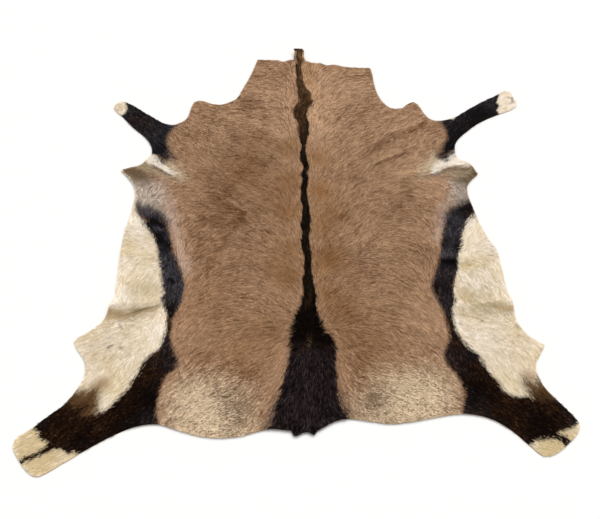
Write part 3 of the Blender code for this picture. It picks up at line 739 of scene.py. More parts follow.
# The mane, row by row from the neck to the blaze: the row's place along, its left and right border, how
# high its hair stands, and how black it is along both borders, from brown, nothing, to black, one
MANE = [
    (0.844, -0.017, 0.009, 0.003, 0.85, 0.60), (0.815, -0.016, 0.011, 0.003, 0.95, 0.30),
    (0.795, -0.016, 0.013, 0.003, 1.00, 0.10), (0.770, -0.015, 0.014, 0.003, 1.00, 0.20),
    (0.750, -0.014, 0.008, 0.003, 1.00, 0.30), (0.729, -0.014, 0.007, 0.003, 1.00, 0.50),
    (0.700, -0.013, 0.010, 0.004, 0.85, 0.80), (0.672, -0.012, 0.011, 0.004, 0.95, 0.20),
    (0.652, -0.009, 0.015, 0.005, 0.95, 0.60), (0.641, -0.007, 0.019, 0.005, 0.60, 0.95),
    (0.620, -0.005, 0.024, 0.006, 0.70, 0.95), (0.603, -0.003, 0.037, 0.007, 0.80, 0.85),
    (0.586, 0.000, 0.043, 0.008, 0.85, 0.75), (0.570, 0.001, 0.043, 0.008, 0.85, 0.70),
    (0.554, -0.006, 0.041, 0.008, 0.75, 0.90), (0.540, -0.015, 0.037, 0.008, 0.75, 0.80),
    (0.524, -0.016, 0.028, 0.008, 0.85, 0.75), (0.506, -0.014, 0.025, 0.008, 0.95, 0.80),
    (0.480, -0.012, 0.023, 0.007, 0.60, 1.00), (0.460, -0.008, 0.027, 0.006, 0.70, 1.00),
    (0.443, -0.003, 0.031, 0.006, 0.80, 1.00), (0.425, -0.003, 0.031, 0.006, 0.75, 1.00),
    (0.405, -0.002, 0.030, 0.006, 0.85, 1.00), (0.390, 0.000, 0.028, 0.006, 1.00, 0.90),
    (0.374, 0.006, 0.026, 0.006, 1.00, 0.90), (0.356, 0.009, 0.019, 0.005, 1.00, 1.00),
    (0.338, 0.007, 0.018, 0.005, 1.00, 0.90), (0.320, 0.003, 0.019, 0.005, 1.00, 0.90),
    (0.300, 0.003, 0.025, 0.006, 1.00, 1.00), (0.278, 0.010, 0.029, 0.006, 1.00, 1.00),
    (0.258, 0.016, 0.031, 0.006, 1.00, 1.00), (0.240, 0.010, 0.025, 0.006, 1.00, 0.90),
    (0.228, 0.008, 0.024, 0.006, 1.00, 1.00), (0.210, 0.014, 0.029, 0.006, 1.00, 1.00),
    (0.185, 0.010, 0.027, 0.006, 1.00, 1.00), (0.160, 0.007, 0.024, 0.006, 1.00, 1.00),
    (0.133, 0.005, 0.023, 0.006, 1.00, 1.00), (0.112, 0.005, 0.023, 0.006, 1.00, 1.00),
    (0.091, 0.011, 0.029, 0.006, 1.00, 1.00), (0.070, 0.012, 0.033, 0.006, 1.00, 1.00),
    (0.045, 0.009, 0.035, 0.006, 1.00, 1.00), (0.015, 0.007, 0.036, 0.006, 1.00, 1.00),
    (-0.008, 0.007, 0.033, 0.006, 1.00, 1.00), (-0.030, 0.008, 0.030, 0.006, 1.00, 1.00),
    (-0.060, 0.008, 0.034, 0.006, 1.00, 1.00), (-0.090, 0.011, 0.036, 0.006, 1.00, 1.00),
    (-0.115, 0.016, 0.037, 0.006, 1.00, 1.00), (-0.145, 0.014, 0.040, 0.006, 1.00, 1.00),
    (-0.167, 0.018, 0.034, 0.006, 1.00, 1.00), (-0.195, 0.013, 0.042, 0.006, 1.00, 1.00),
    (-0.232, 0.012, 0.043, 0.006, 1.00, 1.00), (-0.262, 0.014, 0.051, 0.006, 1.00, 1.00),
    (-0.287, 0.013, 0.043, 0.006, 1.00, 1.00), (-0.305, 0.012, 0.046, 0.006, 1.00, 1.00),
    (-0.330, -0.004, 0.056, 0.005, 1.00, 1.00),
]
# The mane's hair leans to one side and then the other as it goes, over about this length
MANE_WAVE = 0.072

# A lock of the mane is this long, and at most about this many locks lie side by side
MANE_LOCK = 0.013
MANE_LOCKS_ACROSS = 8

# How far the tips of the mane wander to the sides
MANE_FRAY = 0.0030

# Hairs near one place across the mane's end stop short of it: by how much at most, and the place and its
# width from the left border, minus one, to the right border, one. Hairs from beside it lean over this
# dip, so the mane's end is nearly straight.
TONGUE_DIP = 0.014
DIP_PLACE = 0.25
DIP_WIDTH = 0.35

# The mane gleams brown down to this place, and the gleam fades out below it over this length
GLEAM_ALONG = 0.50
GLEAM_FADE = 0.25

# A lock of hair: where it is rooted, its heading, its bend to the left, its size and how many hairs it has
Lock = namedtuple("Lock", "across along heading bend length width hairs")

# The short locks of the tail's root, over the rump's edge under the blaze
TAIL_LOCKS = [
    Lock(-0.012, -0.688, 264, 6, 0.026, 0.026, 460), Lock(0.000, -0.688, 266, -4, 0.022, 0.024, 300),
    Lock(0.037, -0.688, 273, 4, 0.023, 0.022, 360),
]


def linear(code):
    """An sRGB hex colour as linear numbers."""
    parts = [int(code[k : k + 2], 16) / 255 for k in (1, 3, 5)]
    return tuple(c / 12.92 if c <= 0.04045 else ((c + 0.055) / 1.055) ** 2.4 for c in parts)


def size(name, description, default, least=0.0, most=1.0):
    """A length that a user may change."""
    return FloatProperty(
        name=name, description=description, default=default, min=least, max=most,
        precision=4, subtype="DISTANCE", unit="LENGTH",
    )


def colour(name, description, code):
    """A colour that a user may change, given as sRGB hex."""
    return FloatVectorProperty(
        name=name, description=description, default=linear(code),
        size=3, min=0.0, max=1.0, subtype="COLOR",
    )


class HideSizes(bpy.types.PropertyGroup):
    skin: size("Leather", "Thickness of the tanned skin", 0.0025)
    pitch: size("Leather mesh", "Spacing of the leather's mesh points", 0.010, 0.004)
    spacing: size("Root spacing", "Distance from one hair of the short coat to the next", 0.00215, 0.001)
    back_hair: size("Back hair", "Length of the hair on the back and flanks", 0.016)
    belly_hair: size("Belly hair", "Length of the pale belly hair", 0.016)
    short_hair: size("Short hair", "Length of the thin hair below the belly's folds", 0.007)
    leg_hair: size("Leg hair", "Length of the hair on the legs", 0.011)
    rump_hair: size("Rump hair", "Length of the cream hair on the rump", 0.011)
    neck_hair: size("Neck hair", "Length of the hair on the neck", 0.030)
    blaze_hair: size("Blaze hair", "Length of the hair on the dark blaze", 0.022)
    mane_hair: size("Mane hair", "Length of the hair on the ridge of the back", 0.040)
    hair_width: size("Hair width", "Width of one drawn hair, which stands for a few real ones", 0.0013)
    loft: size("Loft", "Height of the lying coat above the leather", 0.0034)
    overhang: size("Overhang", "How far tips reach past the cut edge", 0.002)
    mane_hairs: IntProperty(
        name="Mane hairs", description="How many hairs the mane has", default=12500, min=1
    )
    blaze_hairs: IntProperty(
        name="Blaze hairs", description="How many hairs are tried around the blaze", default=30000, min=1
    )


class HideColours(bpy.types.PropertyGroup):
    back_dark: colour("Back, dark", "Darker streaks of the back", "#7A5336")
    back_light: colour("Back, light", "Paler streaks of the back", "#DAB28E")
    gold: colour("Gold", "Golden tan beside the ridge", "#94683C")
    pale: colour("Pale", "Pale hair in the armpits", "#E0CBAA")
    fringe: colour("Fringe", "Pinkish hair along the stripes", "#C9AA94")
    rump: colour("Rump", "Cream hair on the rump", "#F4DBB8")
    # Scars, and painted shade in the folds' lines, the armpits' lines and the slit in the right front leg's
    # end
    scar_and_shade: colour("Scar", "Scars and scratches in the pale belly", "#6A4A22")
    speckle: colour("Speckle", "Dark tips in the cream rump", "#503620")
    white: colour("Belly white", "White hair of belly and feet", "#FCF1E2")
    cream: colour("Belly cream", "Golden cream hair of the belly", "#E8D2A6")
    grey_light: colour("Brisket, light", "Pale hair on the brisket", "#F0DDCB")
    grey_dark: colour("Brisket, dark", "Dark hair on the brisket", "#6C594A")
    sooty: colour("Sooty", "Dark hair on the brisket's points", "#66573F")
    olive: colour("Olive", "Olive-brown hair in the armpits", "#C8B091")
    tan: colour("Leg tan", "Tan hair above the brown of the hind legs", "#C2A583")
    # Painted shade: the darker tan on the steep side of the belly's folds, away from the light
    fold_shade: colour("Fold's lee", "Short, flat hair on the steep side of the belly's folds", "#D6BD95")
    brown: colour("Leg brown", "Brown hair between black and white on the hind legs", "#684C2F")
    charcoal: colour("Charcoal", "Black hair of stripes and front legs", "#1D1A1D")
    # Painted sheen: the grey-lit tips of the charcoal hair
    ash_sheen: colour("Ash", "Grey tips in the charcoal hair", "#6E6A70")
    blaze: colour("Blaze", "Black hair of the blaze, faintly purple", "#120809")
    # Painted sheen: the purple-brown lit tips in the blaze
    blaze_sheen: colour("Blaze tips", "Soft purple-brown tips in the blaze", "#524545")
    brown_black: colour("Brown-black", "Black-brown hair of the hind legs", "#130703")
    # Painted sheen: the brown-lit tips of the black-brown hair and of the mane
    chestnut_sheen: colour("Chestnut", "Brown tips in the black-brown hair", "#54371F")
    mane_brown: colour("Mane brown", "Brown hair in the neck's mane", "#8A6A48")
    mane_dark: colour("Mane dark", "Dark locks of the mane", "#070301")
    flesh: colour("Flesh side", "Buffed underside of the leather", "#C9AE8C")
    floor: colour("Floor", "The studio's floor", "#F4F3F1")


class StudioSettings(bpy.types.PropertyGroup):
    key_strength: FloatProperty(
        name="Key light", description="Strength of the light on the neck side", default=2.55, min=0.0
    )
    world: FloatProperty(
        name="Surroundings", description="Strength of the even light", default=0.50, min=0.0
    )
    camera_height: size("Camera height", "Height of the camera above the floor", 2.10, 0.1, 10.0)
    camera_back: size(
        "Camera distance", "How far the camera stands from the hide's middle", 1.383, 0.0, 10.0
    )
    pitch: FloatProperty(
        name="Camera pitch", description="Angle below the horizon",
        default=math.radians(59.0), subtype="ANGLE",
    )
    lens: FloatProperty(
        name="Lens", description="Focal length on a 36 mm wide sensor", default=44.4, unit="CAMERA"
    )


def hide_settings():
    """The sizes, the colours and the studio's settings, as they are now."""
    scene = bpy.context.scene
    return scene.hide_sizes, scene.hide_colours, scene.hide_studio


def grid_places(columns, rows):
    """Every place where a column and a row meet."""
    return np.stack(np.meshgrid(columns, rows, indexing="ij"), -1).reshape(-1, 2)


class Chart:
    """An even grid over the hide, and a way to read between its points what is worked out on it."""

    def __init__(self, step):
        self.step = step
        self.shape = tuple(np.ceil((CHART_HIGH - CHART_LOW) / step).astype(int) + 1)
        self.places = grid_places(*(CHART_LOW[k] + step * np.arange(self.shape[k]) for k in (0, 1)))

    def read(self, values, places):
        """What the chart says at some places, each worked out from the four points around it."""
        spot = ((places - CHART_LOW) / self.step).clip(0, np.array(self.shape) - 1.001)
        cell = spot.astype(np.int32)
        share = spot - cell
        rows = values.reshape(self.shape + values.shape[1:])
        i, j = cell.T
        u, v = share.T
        if values.ndim > 1:
            u, v = u[:, None], v[:, None]
        near = rows[i, j] * (1 - v) + rows[i, j + 1] * v
        far = rows[i + 1, j] * (1 - v) + rows[i + 1, j + 1] * v
        return near * (1 - u) + far * u

    def nearest(self, values, places):
        """What the chart says at the point nearest to each place, which is quicker."""
        spot = ((places - CHART_LOW) / self.step + 0.5).astype(np.int32)
        spot = spot.clip(0, np.array(self.shape) - 1)
        return values[spot[:, 0] * self.shape[1] + spot[:, 1]]

    def blur(self, values, reach):
        """The values spread over a reach in both directions."""
        count = max(1, int(3 * reach / self.step))
        kernel = np.exp(-0.5 * (np.arange(-count, count + 1) * self.step / reach) ** 2)
        kernel /= kernel.sum()
        rows = values.reshape(self.shape)
        for axis in (0, 1):
            rows = np.apply_along_axis(np.convolve, axis, rows, kernel, "same")
        return rows.ravel()


def smooth_step(share):
    """Turns a share into a soft step, which is level at nothing and at one."""
    share = np.clip(share, 0, 1)
    return share * share * (3 - 2 * share)


def unit(heading):
    """Headings as vectors of length one."""
    return np.stack([np.cos(heading), np.sin(heading)], -1)


def turned(way, angle):
    """Vectors turned by an angle, from +X towards +Y."""
    cos, sin = np.cos(angle), np.sin(angle)
    return np.stack([way[:, 0] * cos - way[:, 1] * sin, way[:, 0] * sin + way[:, 1] * cos], 1)


def ring_area(ring):
    """The area inside a closed ring, and below nothing where the ring runs clockwise."""
    after = np.roll(ring, -1, axis=0)
    return np.sum(ring[:, 0] * after[:, 1] - ring[:, 1] * after[:, 0]) / 2


def smooth_ring(turns, step):
    """A closed ring of points about a step apart on a smooth curve through its turns."""
    knots = np.array(turns, float)
    count = len(knots)
    points = []
    for k in range(count):
        p0, p1, p2, p3 = (knots[(k + shift) % count] for shift in (-1, 0, 1, 2))
        pieces = max(1, round(float(np.linalg.norm(p2 - p1)) / step))
        for t in np.arange(pieces) / pieces:
            points.append(
                0.5 * (2 * p1 + (p2 - p0) * t + (2 * p0 - 5 * p1 + 4 * p2 - p3) * t**2
                       + (3 * p1 - p0 - 3 * p2 + p3) * t**3)
            )
    return np.array(points)


def border(turns):
    """A mark's smooth border, from its turns in millimetres."""
    return smooth_ring(np.array(turns) / MILLIMETRES, BORDER_STEP)


def depth_inside(places, ring):
    """How far inside a closed ring each place lies, and below nothing outside it."""
    x, y = places.T
    nearest = np.full(len(places), np.inf)
    within = np.zeros(len(places), bool)
    for (x1, y1), (x2, y2) in zip(ring, np.roll(ring, -1, axis=0)):
        way_x, way_y = x2 - x1, y2 - y1
        t = ((x - x1) * way_x + (y - y1) * way_y) / max(way_x**2 + way_y**2, 1e-12)
        t = t.clip(0, 1)
        nearest = np.minimum(nearest, (x - x1 - t * way_x) ** 2 + (y - y1 - t * way_y) ** 2)
        if y1 != y2:
            crosses = (y1 > y) != (y2 > y)
            within ^= crosses & (x < x1 + (y - y1) / (y2 - y1) * way_x)
    return np.where(within, 1, -1) * np.sqrt(nearest)


def rise_of(places, rows):
    """The height of a crease at each place: full on its line, and nothing past its reach."""
    best = np.full(len(places), np.inf)
    share = np.ones(len(places))
    height = np.zeros(len(places))
    rows = np.array(rows)
    for first, last in zip(rows, rows[1:]):
        way = last[:2] - first[:2]
        t = ((places - first[:2]) @ way / (way @ way)).clip(0, 1)[:, None]
        here = first + (last - first) * t
        out = places - here[:, :2]
        off = np.linalg.norm(out, axis=1)
        nearer = off < best
        best = np.where(nearer, off, best)
        side = (way[0] * out[:, 1] - way[1] * out[:, 0]) * way[0]
        reach = here[:, 2] * np.where(side < 0, LEE, 1.0)
        share = np.where(nearer, off / reach, share)
        height = np.where(nearer, here[:, 3], height)
    return height * np.cos(share.clip(0, 1) * math.pi / 2) ** 2


def patch_tone(places, patches):
    """The sum of some soft patches at each place."""
    tone = np.zeros(len(places))
    for across, along, reach, amount in patches:
        off = (places[:, 0] - across) ** 2 + (places[:, 1] - along) ** 2
        tone += amount * np.exp(-off / (2 * (reach * PATCH_SPREAD) ** 2))
    return tone


def cut_edge():
    """The hide's cut edge, read from the solid: the ring where its walls meet its flesh side."""
    mesh = SOLID.data
    where = {}
    same = [
        where.setdefault(tuple(round(c / SAME_POINT) for c in vert.co), vert.index) for vert in mesh.vertices
    ]
    beside = {}
    for face in mesh.polygons:
        side = "wall" if abs(face.normal.z) < WALL_TILT else "under" if face.normal.z < 0 else "over"
        corners = [same[k] for k in face.vertices]
        for a, b in zip(corners, corners[1:] + corners[:1]):
            beside.setdefault(frozenset((a, b)), set()).add(side)
    steps = {}
    for edge, sides in beside.items():
        if sides == {"wall", "under"}:
            a, b = edge
            steps.setdefault(a, []).append(b)
            steps.setdefault(b, []).append(a)
    first = min(steps)
    ring, last, here = [first], None, first
    while True:
        following = [k for k in steps[here] if k != last][0]
        if following == first:
            break
        ring.append(following)
        last, here = here, following
    ring = np.array([mesh.vertices[k].co[:2] for k in ring])
    return ring if ring_area(ring) > 0 else ring[::-1]


@functools.cache
def hide_chart():
    return Chart(CHART_STEP)


@functools.cache
def streak_chart():
    return Chart(STREAK_STEP)


@functools.cache
def edge_ring():
    return smooth_ring(cut_edge(), CHART_STEP)


@functools.cache
def edge_depths():
    """How far inside the cut edge the hide chart's places lie."""
    return depth_inside(hide_chart().places, cut_edge())


def depth_at(places):
    """How far inside the cut edge some places lie."""
    return hide_chart().read(edge_depths(), places)


@functools.cache
def flesh_heights():
    """Height of the flesh side over the floor, from the solid's underside and the finer creases."""
    chart = hide_chart()
    mesh = SOLID.data
    tree = BVHTree.FromPolygons([v.co for v in mesh.vertices], [f.vertices for f in mesh.polygons])
    height = np.zeros(len(chart.places))
    known = np.zeros(len(chart.places))
    for k in np.flatnonzero(edge_depths() > 0):
        x, y = chart.places[k]
        hit = tree.ray_cast(Vector((x, y, -RAY_START)), Vector((0, 0, 1)))[0]
        if hit is not None:
            height[k] = hit.z
            known[k] = 1
    height = chart.blur(height * known, FACET_BLUR) / np.maximum(chart.blur(known, FACET_BLUR), 1e-6)
    for rows in CREASES:
        height += rise_of(chart.places, rows)
    return np.maximum(height, 0)


def flesh_height(places):
    return hide_chart().read(flesh_heights(), places)


@functools.cache
def lie_vectors():
    """The way the hair lies, as unit vectors on the streak chart."""
    rows = sorted(LIE)
    headings = np.radians([LIE[row] for row in rows])
    across = np.array(LIE_ACROSS)
    x, y = streak_chart().places.T
    i = np.searchsorted(rows, y).clip(1, len(rows) - 1) - 1
    j = np.searchsorted(across, x).clip(1, len(across) - 1) - 1
    u = ((y - np.array(rows)[i]) / np.diff(rows)[i]).clip(0, 1)
    v = ((x - across[j]) / np.diff(across)[j]).clip(0, 1)
    u, v = smooth_step(u)[:, None], smooth_step(v)[:, None]
    ways = unit(headings)
    near = ways[i, j] * (1 - v) + ways[i, j + 1] * v
    far = ways[i + 1, j] * (1 - v) + ways[i + 1, j + 1] * v
    way = near * (1 - u) + far * u
    total = np.zeros(len(way))
    pulled = np.zeros_like(way)
    for across_here, along_here, heading, reach in BELLY_SWEEPS:
        off = (x - across_here) ** 2 + (y - along_here) ** 2
        weight = np.exp(-off / reach**2)
        heading = math.radians(heading)
        total += weight
        pulled += weight[:, None] * (math.cos(heading), math.sin(heading))
    share = smooth_step(total * SWEEP_PULL)[:, None]
    way = way * (1 - share) + pulled / np.maximum(total, 1e-9)[:, None] * share
    out = streak_chart().places - np.array(WHORL)
    off = np.linalg.norm(out, axis=1)[:, None]
    pull = np.exp(-((off / WHORL_REACH) ** 2))
    way = way * (1 - pull) + out / np.maximum(off, 1e-6) * pull
    wander = streak_chart().blur(np.random.default_rng(SEED + 5).standard_normal(len(way)), WANDER_REACH)
    way = turned(way, WANDER * wander / wander.std() * (1 - pull[:, 0]))
    return way / np.maximum(np.linalg.norm(way, axis=1)[:, None], 1e-6)


def lie_at(places):
    """The way the hair lies at some places."""
    return streak_chart().read(lie_vectors(), places)


def combed(noise, reach, step):
    """Noise drawn out along the lie of the hair over a reach to both sides, as streaks."""
    chart, way = streak_chart(), lie_vectors()
    total = noise.copy()
    for direction in (step, -step):
        spot = chart.places.copy()
        for _ in range(int(reach / step)):
            spot += direction * chart.nearest(way, spot)
            total += chart.nearest(noise, spot)
    total -= total.mean()
    return total / total.std()


@functools.cache
def streaks():
    """Fine streaks, tufts and clouds of the coat, each about nothing with a spread of one, and thin lines."""
    chart = streak_chart()
    draw = np.random.default_rng(SEED)
    fine = combed(draw.standard_normal(len(chart.places)), STREAK_RUN, STREAK_STEP)
    tuft = combed(chart.blur(draw.standard_normal(len(chart.places)), TUFT_WIDTH), TUFT_RUN, TUFT_STEP)
    cloud = chart.blur(draw.standard_normal(len(chart.places)), CLOUD_WIDTH)
    vein = chart.blur(draw.standard_normal(len(chart.places)), VEIN_WIDTH)
    line = np.exp(-((vein / vein.std() / VEIN_SHARE) ** 2))
    return fine, tuft, cloud / cloud.std(), line


def streaks_at(places):
    """The fine streaks, tufts, clouds and thin lines at some places."""
    return [streak_chart().read(values, places) for values in streaks()]


@functools.cache
def zone_depths():
    """For each kind of mark, how deep inside each of its rings the chart's points lie."""
    chart = hide_chart()
    return {
        name: [depth_inside(chart.places, border(zone.turns)) for zone in zones]
        for name, zones in ZONES.items()
    }


def zone_share(name, places, stray):
    """How much of a mark's colour the hair at each place has. Stray is about nothing, spread one."""
    share = np.zeros(len(places))
    for zone, depths in zip(ZONES[name], zone_depths()[name]):
        depth = hide_chart().read(depths, places) + zone.stray * stray
        share = np.maximum(share, smooth_step(depth / zone.soft + 0.5))
    return share


def line_tone(places, lines):
    """How much some short lines are felt by the hair at each place."""
    tone = np.zeros(len(places))
    for *ends, width, amount in lines:
        start = np.array(ends[:2])
        way = np.array(ends[2:]) - start
        t = ((places - start) @ way / (way @ way)).clip(0, 1)[:, None]
        off = np.linalg.norm(places - start - way * t, axis=1)
        here = amount * np.exp(-((off / width) ** 2))
        tone = np.where(np.abs(here) > np.abs(tone), here, tone)
    return tone


def coat_marks(places, draw):
    """Everything that the coat's material reads, for hair that is seen at each place.

    Each mark is a level that streaks, tufts, clouds and the single hair change a little. Without draw
    there are no single hairs, and the marks are those of the skin under the hair.
    """
    fine, tuft, cloud, line = streaks_at(places)
    count = len(places)
    single = draw.standard_normal(count) if draw else np.zeros(count)
    stray = 0.75 * single + 0.30 * fine + 0.15 * tuft + 0.20 * cloud
    marks = {name: zone_share(name, places, stray) for name in ZONES}
    tone = patch_tone(places, BACK_PATCHES) + line_tone(places, BACK_LINES)
    combing = 1 + 0.5 * smooth_step((places[:, 1] - COMBING_ALONG) / COMBING_FADE)
    grain = combing * (0.11 * fine + 0.04 * tuft + 0.11 * single)
    marks["streak"] = 0.50 - 0.50 * tone + grain + 0.05 * cloud
    cream = 0.40 + patch_tone(places, CREAM_PATCHES)
    marks["cream"] = cream - 0.05 * fine - 0.02 * tuft + 0.06 * cloud + 0.08 * single
    marks["pepper"] = 0.53 + 0.08 * fine + 0.03 * tuft + 0.25 * single
    marks["gold"] = (patch_tone(places, GOLD_PATCHES) + 0.05 * cloud + 0.08 * fine).clip(0, 0.9)
    marks["warm"] = patch_tone(places, WARM_PATCHES) + 0.10 * cloud + 0.10 * fine
    # The deep lines hold painted shade in the right stripe's crease, and a painted highlight beside it
    deep = patch_tone(places, DEEP_PATCHES) + line_tone(places, DEEP_LINES)
    marks["deep"] = deep + 0.10 * cloud - 0.10 * fine
    # The glint is painted sheen on the black hair, laid over its colour
    glint = 0.18 + 0.10 * fine + 0.06 * tuft + 0.08 * cloud + patch_tone(places, ASH_PATCHES)
    # The black hair of the hind legs is coarser and more of a mix
    warm = marks["warm"].clip(0, 1)
    glint += (0.20 + 0.16 * warm) * single - 0.12 * warm
    marks["glint"] = (glint - 0.30 * deep).clip(0, 1) ** 1.5
    cream = 0.67 + patch_tone(places, RUMP_PATCHES) + 0.10 * fine + 0.03 * tuft + 0.25 * single
    marks["rump"] = marks["rump"] * cream.clip(0, 1)
    # Scars and veins, and painted shade along the folds' and armpits' lines and in the hoof's slit
    marks["scar_and_shade"] = line_tone(places, SCAR_AND_SHADE_LINES) + 0.22 * line * marks["short"]
    chance = 0.10 + 0.42 * marks["speckle"] - 0.04 * tuft + patch_tone(places, PEPPER_PATCHES)
    marks["speckle"] = marks["rump"] * ((draw.random(count) if draw else 0.5) < chance)
    spread = 1 - 0.12 * marks["white"] + 0.25 * marks["short"]
    grain = spread * (0.15 * fine + 0.03 * tuft + 0.19 * single)
    marks["tint"] = 0.5 + grain - patch_tone(places, DIM_PATCHES)
    # A darker hair of the belly is a more golden one
    marks["cream"] += 0.9 * (0.5 - marks["tint"])
    # A hair near the edge of the black is black or not, and few are between
    marks["black"] = (marks["black"] - 0.5) * (2.6 if draw else 1.4) + 0.5
    del marks["short"]
    return {name: values.clip(0, 1) for name, values in marks.items()}


def hair_mesh(name, line, aside, width, marks):
    """One mesh of many hairs, each a narrow leaf.

    line: the points down the middle of each hair, (hairs, stations, 3)
    aside: the way across each hair at each station, (hairs, stations, 3)
    width: the full width of each hair
    marks: numbers for the material, one for each hair
    """
    hairs, stations = line.shape[:2]
    inner = stations - 2
    per_hair = 2 * inner + 2
    taper = np.sin(np.linspace(0, 1, stations)[1:-1] * math.pi) ** 0.5
    half = width[:, None, None] / 2 * taper[None, :, None] * aside[:, 1:-1]
    points = np.empty((hairs, per_hair, 3), np.float32)
    points[:, 0] = line[:, 0]
    points[:, 1:-1:2] = line[:, 1:-1] - half
    points[:, 2:-1:2] = line[:, 1:-1] + half
    points[:, -1] = line[:, -1]

    corners = [(0, 1, 2)]
    corners += [(k, k + 2, k + 3, k + 1) for k in range(1, 2 * inner - 1, 2)]
    corners += [(2 * inner - 1, 2 * inner + 1, 2 * inner)]
    one_hair = np.concatenate([np.array(face) for face in corners])
    lengths = np.array([len(face) for face in corners])
    starts = np.cumsum(lengths) - lengths
    loops = (np.arange(hairs)[:, None] * per_hair + one_hair).ravel()
    loop_starts = (np.arange(hairs)[:, None] * len(one_hair) + starts).ravel()

    mesh = bpy.data.meshes.new(name)
    mesh.vertices.add(hairs * per_hair)
    mesh.vertices.foreach_set("co", points.ravel())
    mesh.loops.add(len(loops))
    mesh.loops.foreach_set("vertex_index", loops.astype(np.int32))
    mesh.polygons.add(len(loop_starts))
    mesh.polygons.foreach_set("loop_start", loop_starts.astype(np.int32))
    mesh.update(calc_edges=True)
    mesh.shade_smooth()
    along = np.concatenate([[0.0], np.repeat(np.linspace(0, 1, stations)[1:-1], 2), [1.0]])
    marks = {mark: np.repeat(values, per_hair) for mark, values in marks.items()}
    store_marks(mesh, {**marks, "along": np.tile(along, hairs)})
    flat_map(mesh)
    return mesh


def store_marks(mesh, marks):
    """Keeps numbers on a mesh's points, for the material to read."""
    for name, values in marks.items():
        layer = mesh.attributes.new(name, "FLOAT", "POINT")
        layer.data.foreach_set("value", np.asarray(values, np.float32))


def flat_map(mesh, under=None):
    """A map seen from above, with the faces of the flesh side in the lower half of the picture."""
    places = np.empty(len(mesh.vertices) * 3, np.float32)
    mesh.vertices.foreach_get("co", places)
    places = places.reshape(-1, 3)[:, :2]
    share = (places - CHART_LOW) / (CHART_HIGH - CHART_LOW)
    corner = np.empty(len(mesh.loops), np.int32)
    mesh.loops.foreach_get("vertex_index", corner)
    spots = share[corner]
    if under is not None:
        spots = spots * (1.0, 0.5)
        spots[~under, 1] += 0.5
    mesh.uv_layers.new(name="OFBake").data.foreach_set("uv", spots.astype(np.float32).ravel())


def add_piece(name, mesh, material):
    """Adds one piece of the dressed hide, which takes the solid's place."""
    piece = bpy.data.objects.new(name, mesh)
    bpy.context.scene.collection.objects.link(piece)
    mesh.materials.append(material)
    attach(piece, BODY)
    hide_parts("hide")
    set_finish(piece, SLOT)
    return piece


def add_node(tree, kind, inputs=None, **settings):
    """Adds a node with its settings, and fills its inputs with links, numbers or colours."""
    node = tree.nodes.new(kind)
    for name, value in settings.items():
        setattr(node, name, value)
    for key, value in (inputs or {}).items():
        if isinstance(value, bpy.types.NodeSocket):
            tree.links.new(value, node.inputs[key])
        elif isinstance(value, Color):
            node.inputs[key].default_value = (*value, 1.0)
        else:
            node.inputs[key].default_value = value
    return node


def new_material(name):
    """A material with only its output, and the tree that it is built in."""
    material = bpy.data.materials.new(name)
    material.use_nodes = True
    material.node_tree.nodes.clear()
    return material, material.node_tree


def finish_material(tree, inputs):
    """Joins a shader with these inputs to the material's output."""
    surface = add_node(tree, "ShaderNodeBsdfPrincipled", inputs)
    add_node(tree, "ShaderNodeOutputMaterial", {"Surface": surface.outputs[0]})


def laid_over(tree, base, *layers):
    """A colour with others laid over it in turn.

    A layer is the name of the mark that says where it is, its colour, and its strength where that is
    less than one. Sockets 0, 6 and 7 of a mix are its share and its two colours.
    """
    for name, over, *strength in layers:
        share = add_node(tree, "ShaderNodeAttribute", attribute_name=name).outputs["Fac"]
        for factor in strength:
            share = add_node(tree, "ShaderNodeMath", {0: share, 1: factor}, operation="MULTIPLY").outputs[0]
        inputs = {0: share, 6: base, 7: over}
        base = add_node(tree, "ShaderNodeMix", inputs, data_type="RGBA").outputs[2]
    return base


def coat_colour(tree):
    """The coat's colour: the back's, and then each mark in turn over what it covers."""
    colours = bpy.context.scene.hide_colours
    grey = laid_over(tree, colours.grey_dark, ("pepper", colours.grey_light))
    # Over the belly's white, painted shade on the folds' steep side
    white = laid_over(tree, colours.white, ("cream", colours.cream), ("fold_shade", colours.fold_shade))
    dark = laid_over(tree, colours.charcoal, ("warm", colours.brown_black))
    # Painted sheen over the black hair
    sheen_tips = laid_over(tree, colours.ash_sheen, ("warm", colours.chestnut_sheen))
    black = laid_over(tree, dark, ("glint", sheen_tips))
    return laid_over(
        tree, colours.back_dark, ("streak", colours.back_light), ("gold", colours.gold),
        ("fringe", colours.fringe), ("pale", colours.pale), ("rump", colours.rump),
        ("speckle", colours.speckle), ("grey", grey), ("sooty", colours.sooty, 0.80),
        ("olive", colours.olive, 0.85), ("white", white), ("tan", colours.tan),
        ("brown", colours.brown), ("black", black), ("scar_and_shade", colours.scar_and_shade),
    )


def shaded(tree, base, tints, root_to_tip):
    """Varies a colour from hair to hair, and darkens it towards the roots as painted shade between the hairs,
    but less where it is white.
    """
    names = ("tint", "along", "deep", "black", "white")
    tint, along, deep, black, white = (
        add_node(tree, "ShaderNodeAttribute", attribute_name=name).outputs["Fac"] for name in names
    )
    deep_share = add_node(tree, "ShaderNodeMath", {0: deep, 1: black}, operation="MULTIPLY").outputs[0]
    tint, along, deep_share = (
        add_node(tree, "ShaderNodeMapRange", {"Value": value, "To Min": low, "To Max": high}).outputs[0]
        for value, (low, high) in ((tint, tints), (along, root_to_tip), (deep_share, DEEP_RANGE))
    )
    along = add_node(tree, "ShaderNodeMix", {0: white, 2: along, 3: 1.0}, data_type="FLOAT").outputs[0]
    value = tint
    for factor in (along, deep_share):
        value = add_node(tree, "ShaderNodeMath", {0: value, 1: factor}, operation="MULTIPLY").outputs[0]
    return add_node(tree, "ShaderNodeHueSaturation", {"Value": value, "Color": base}).outputs[0]


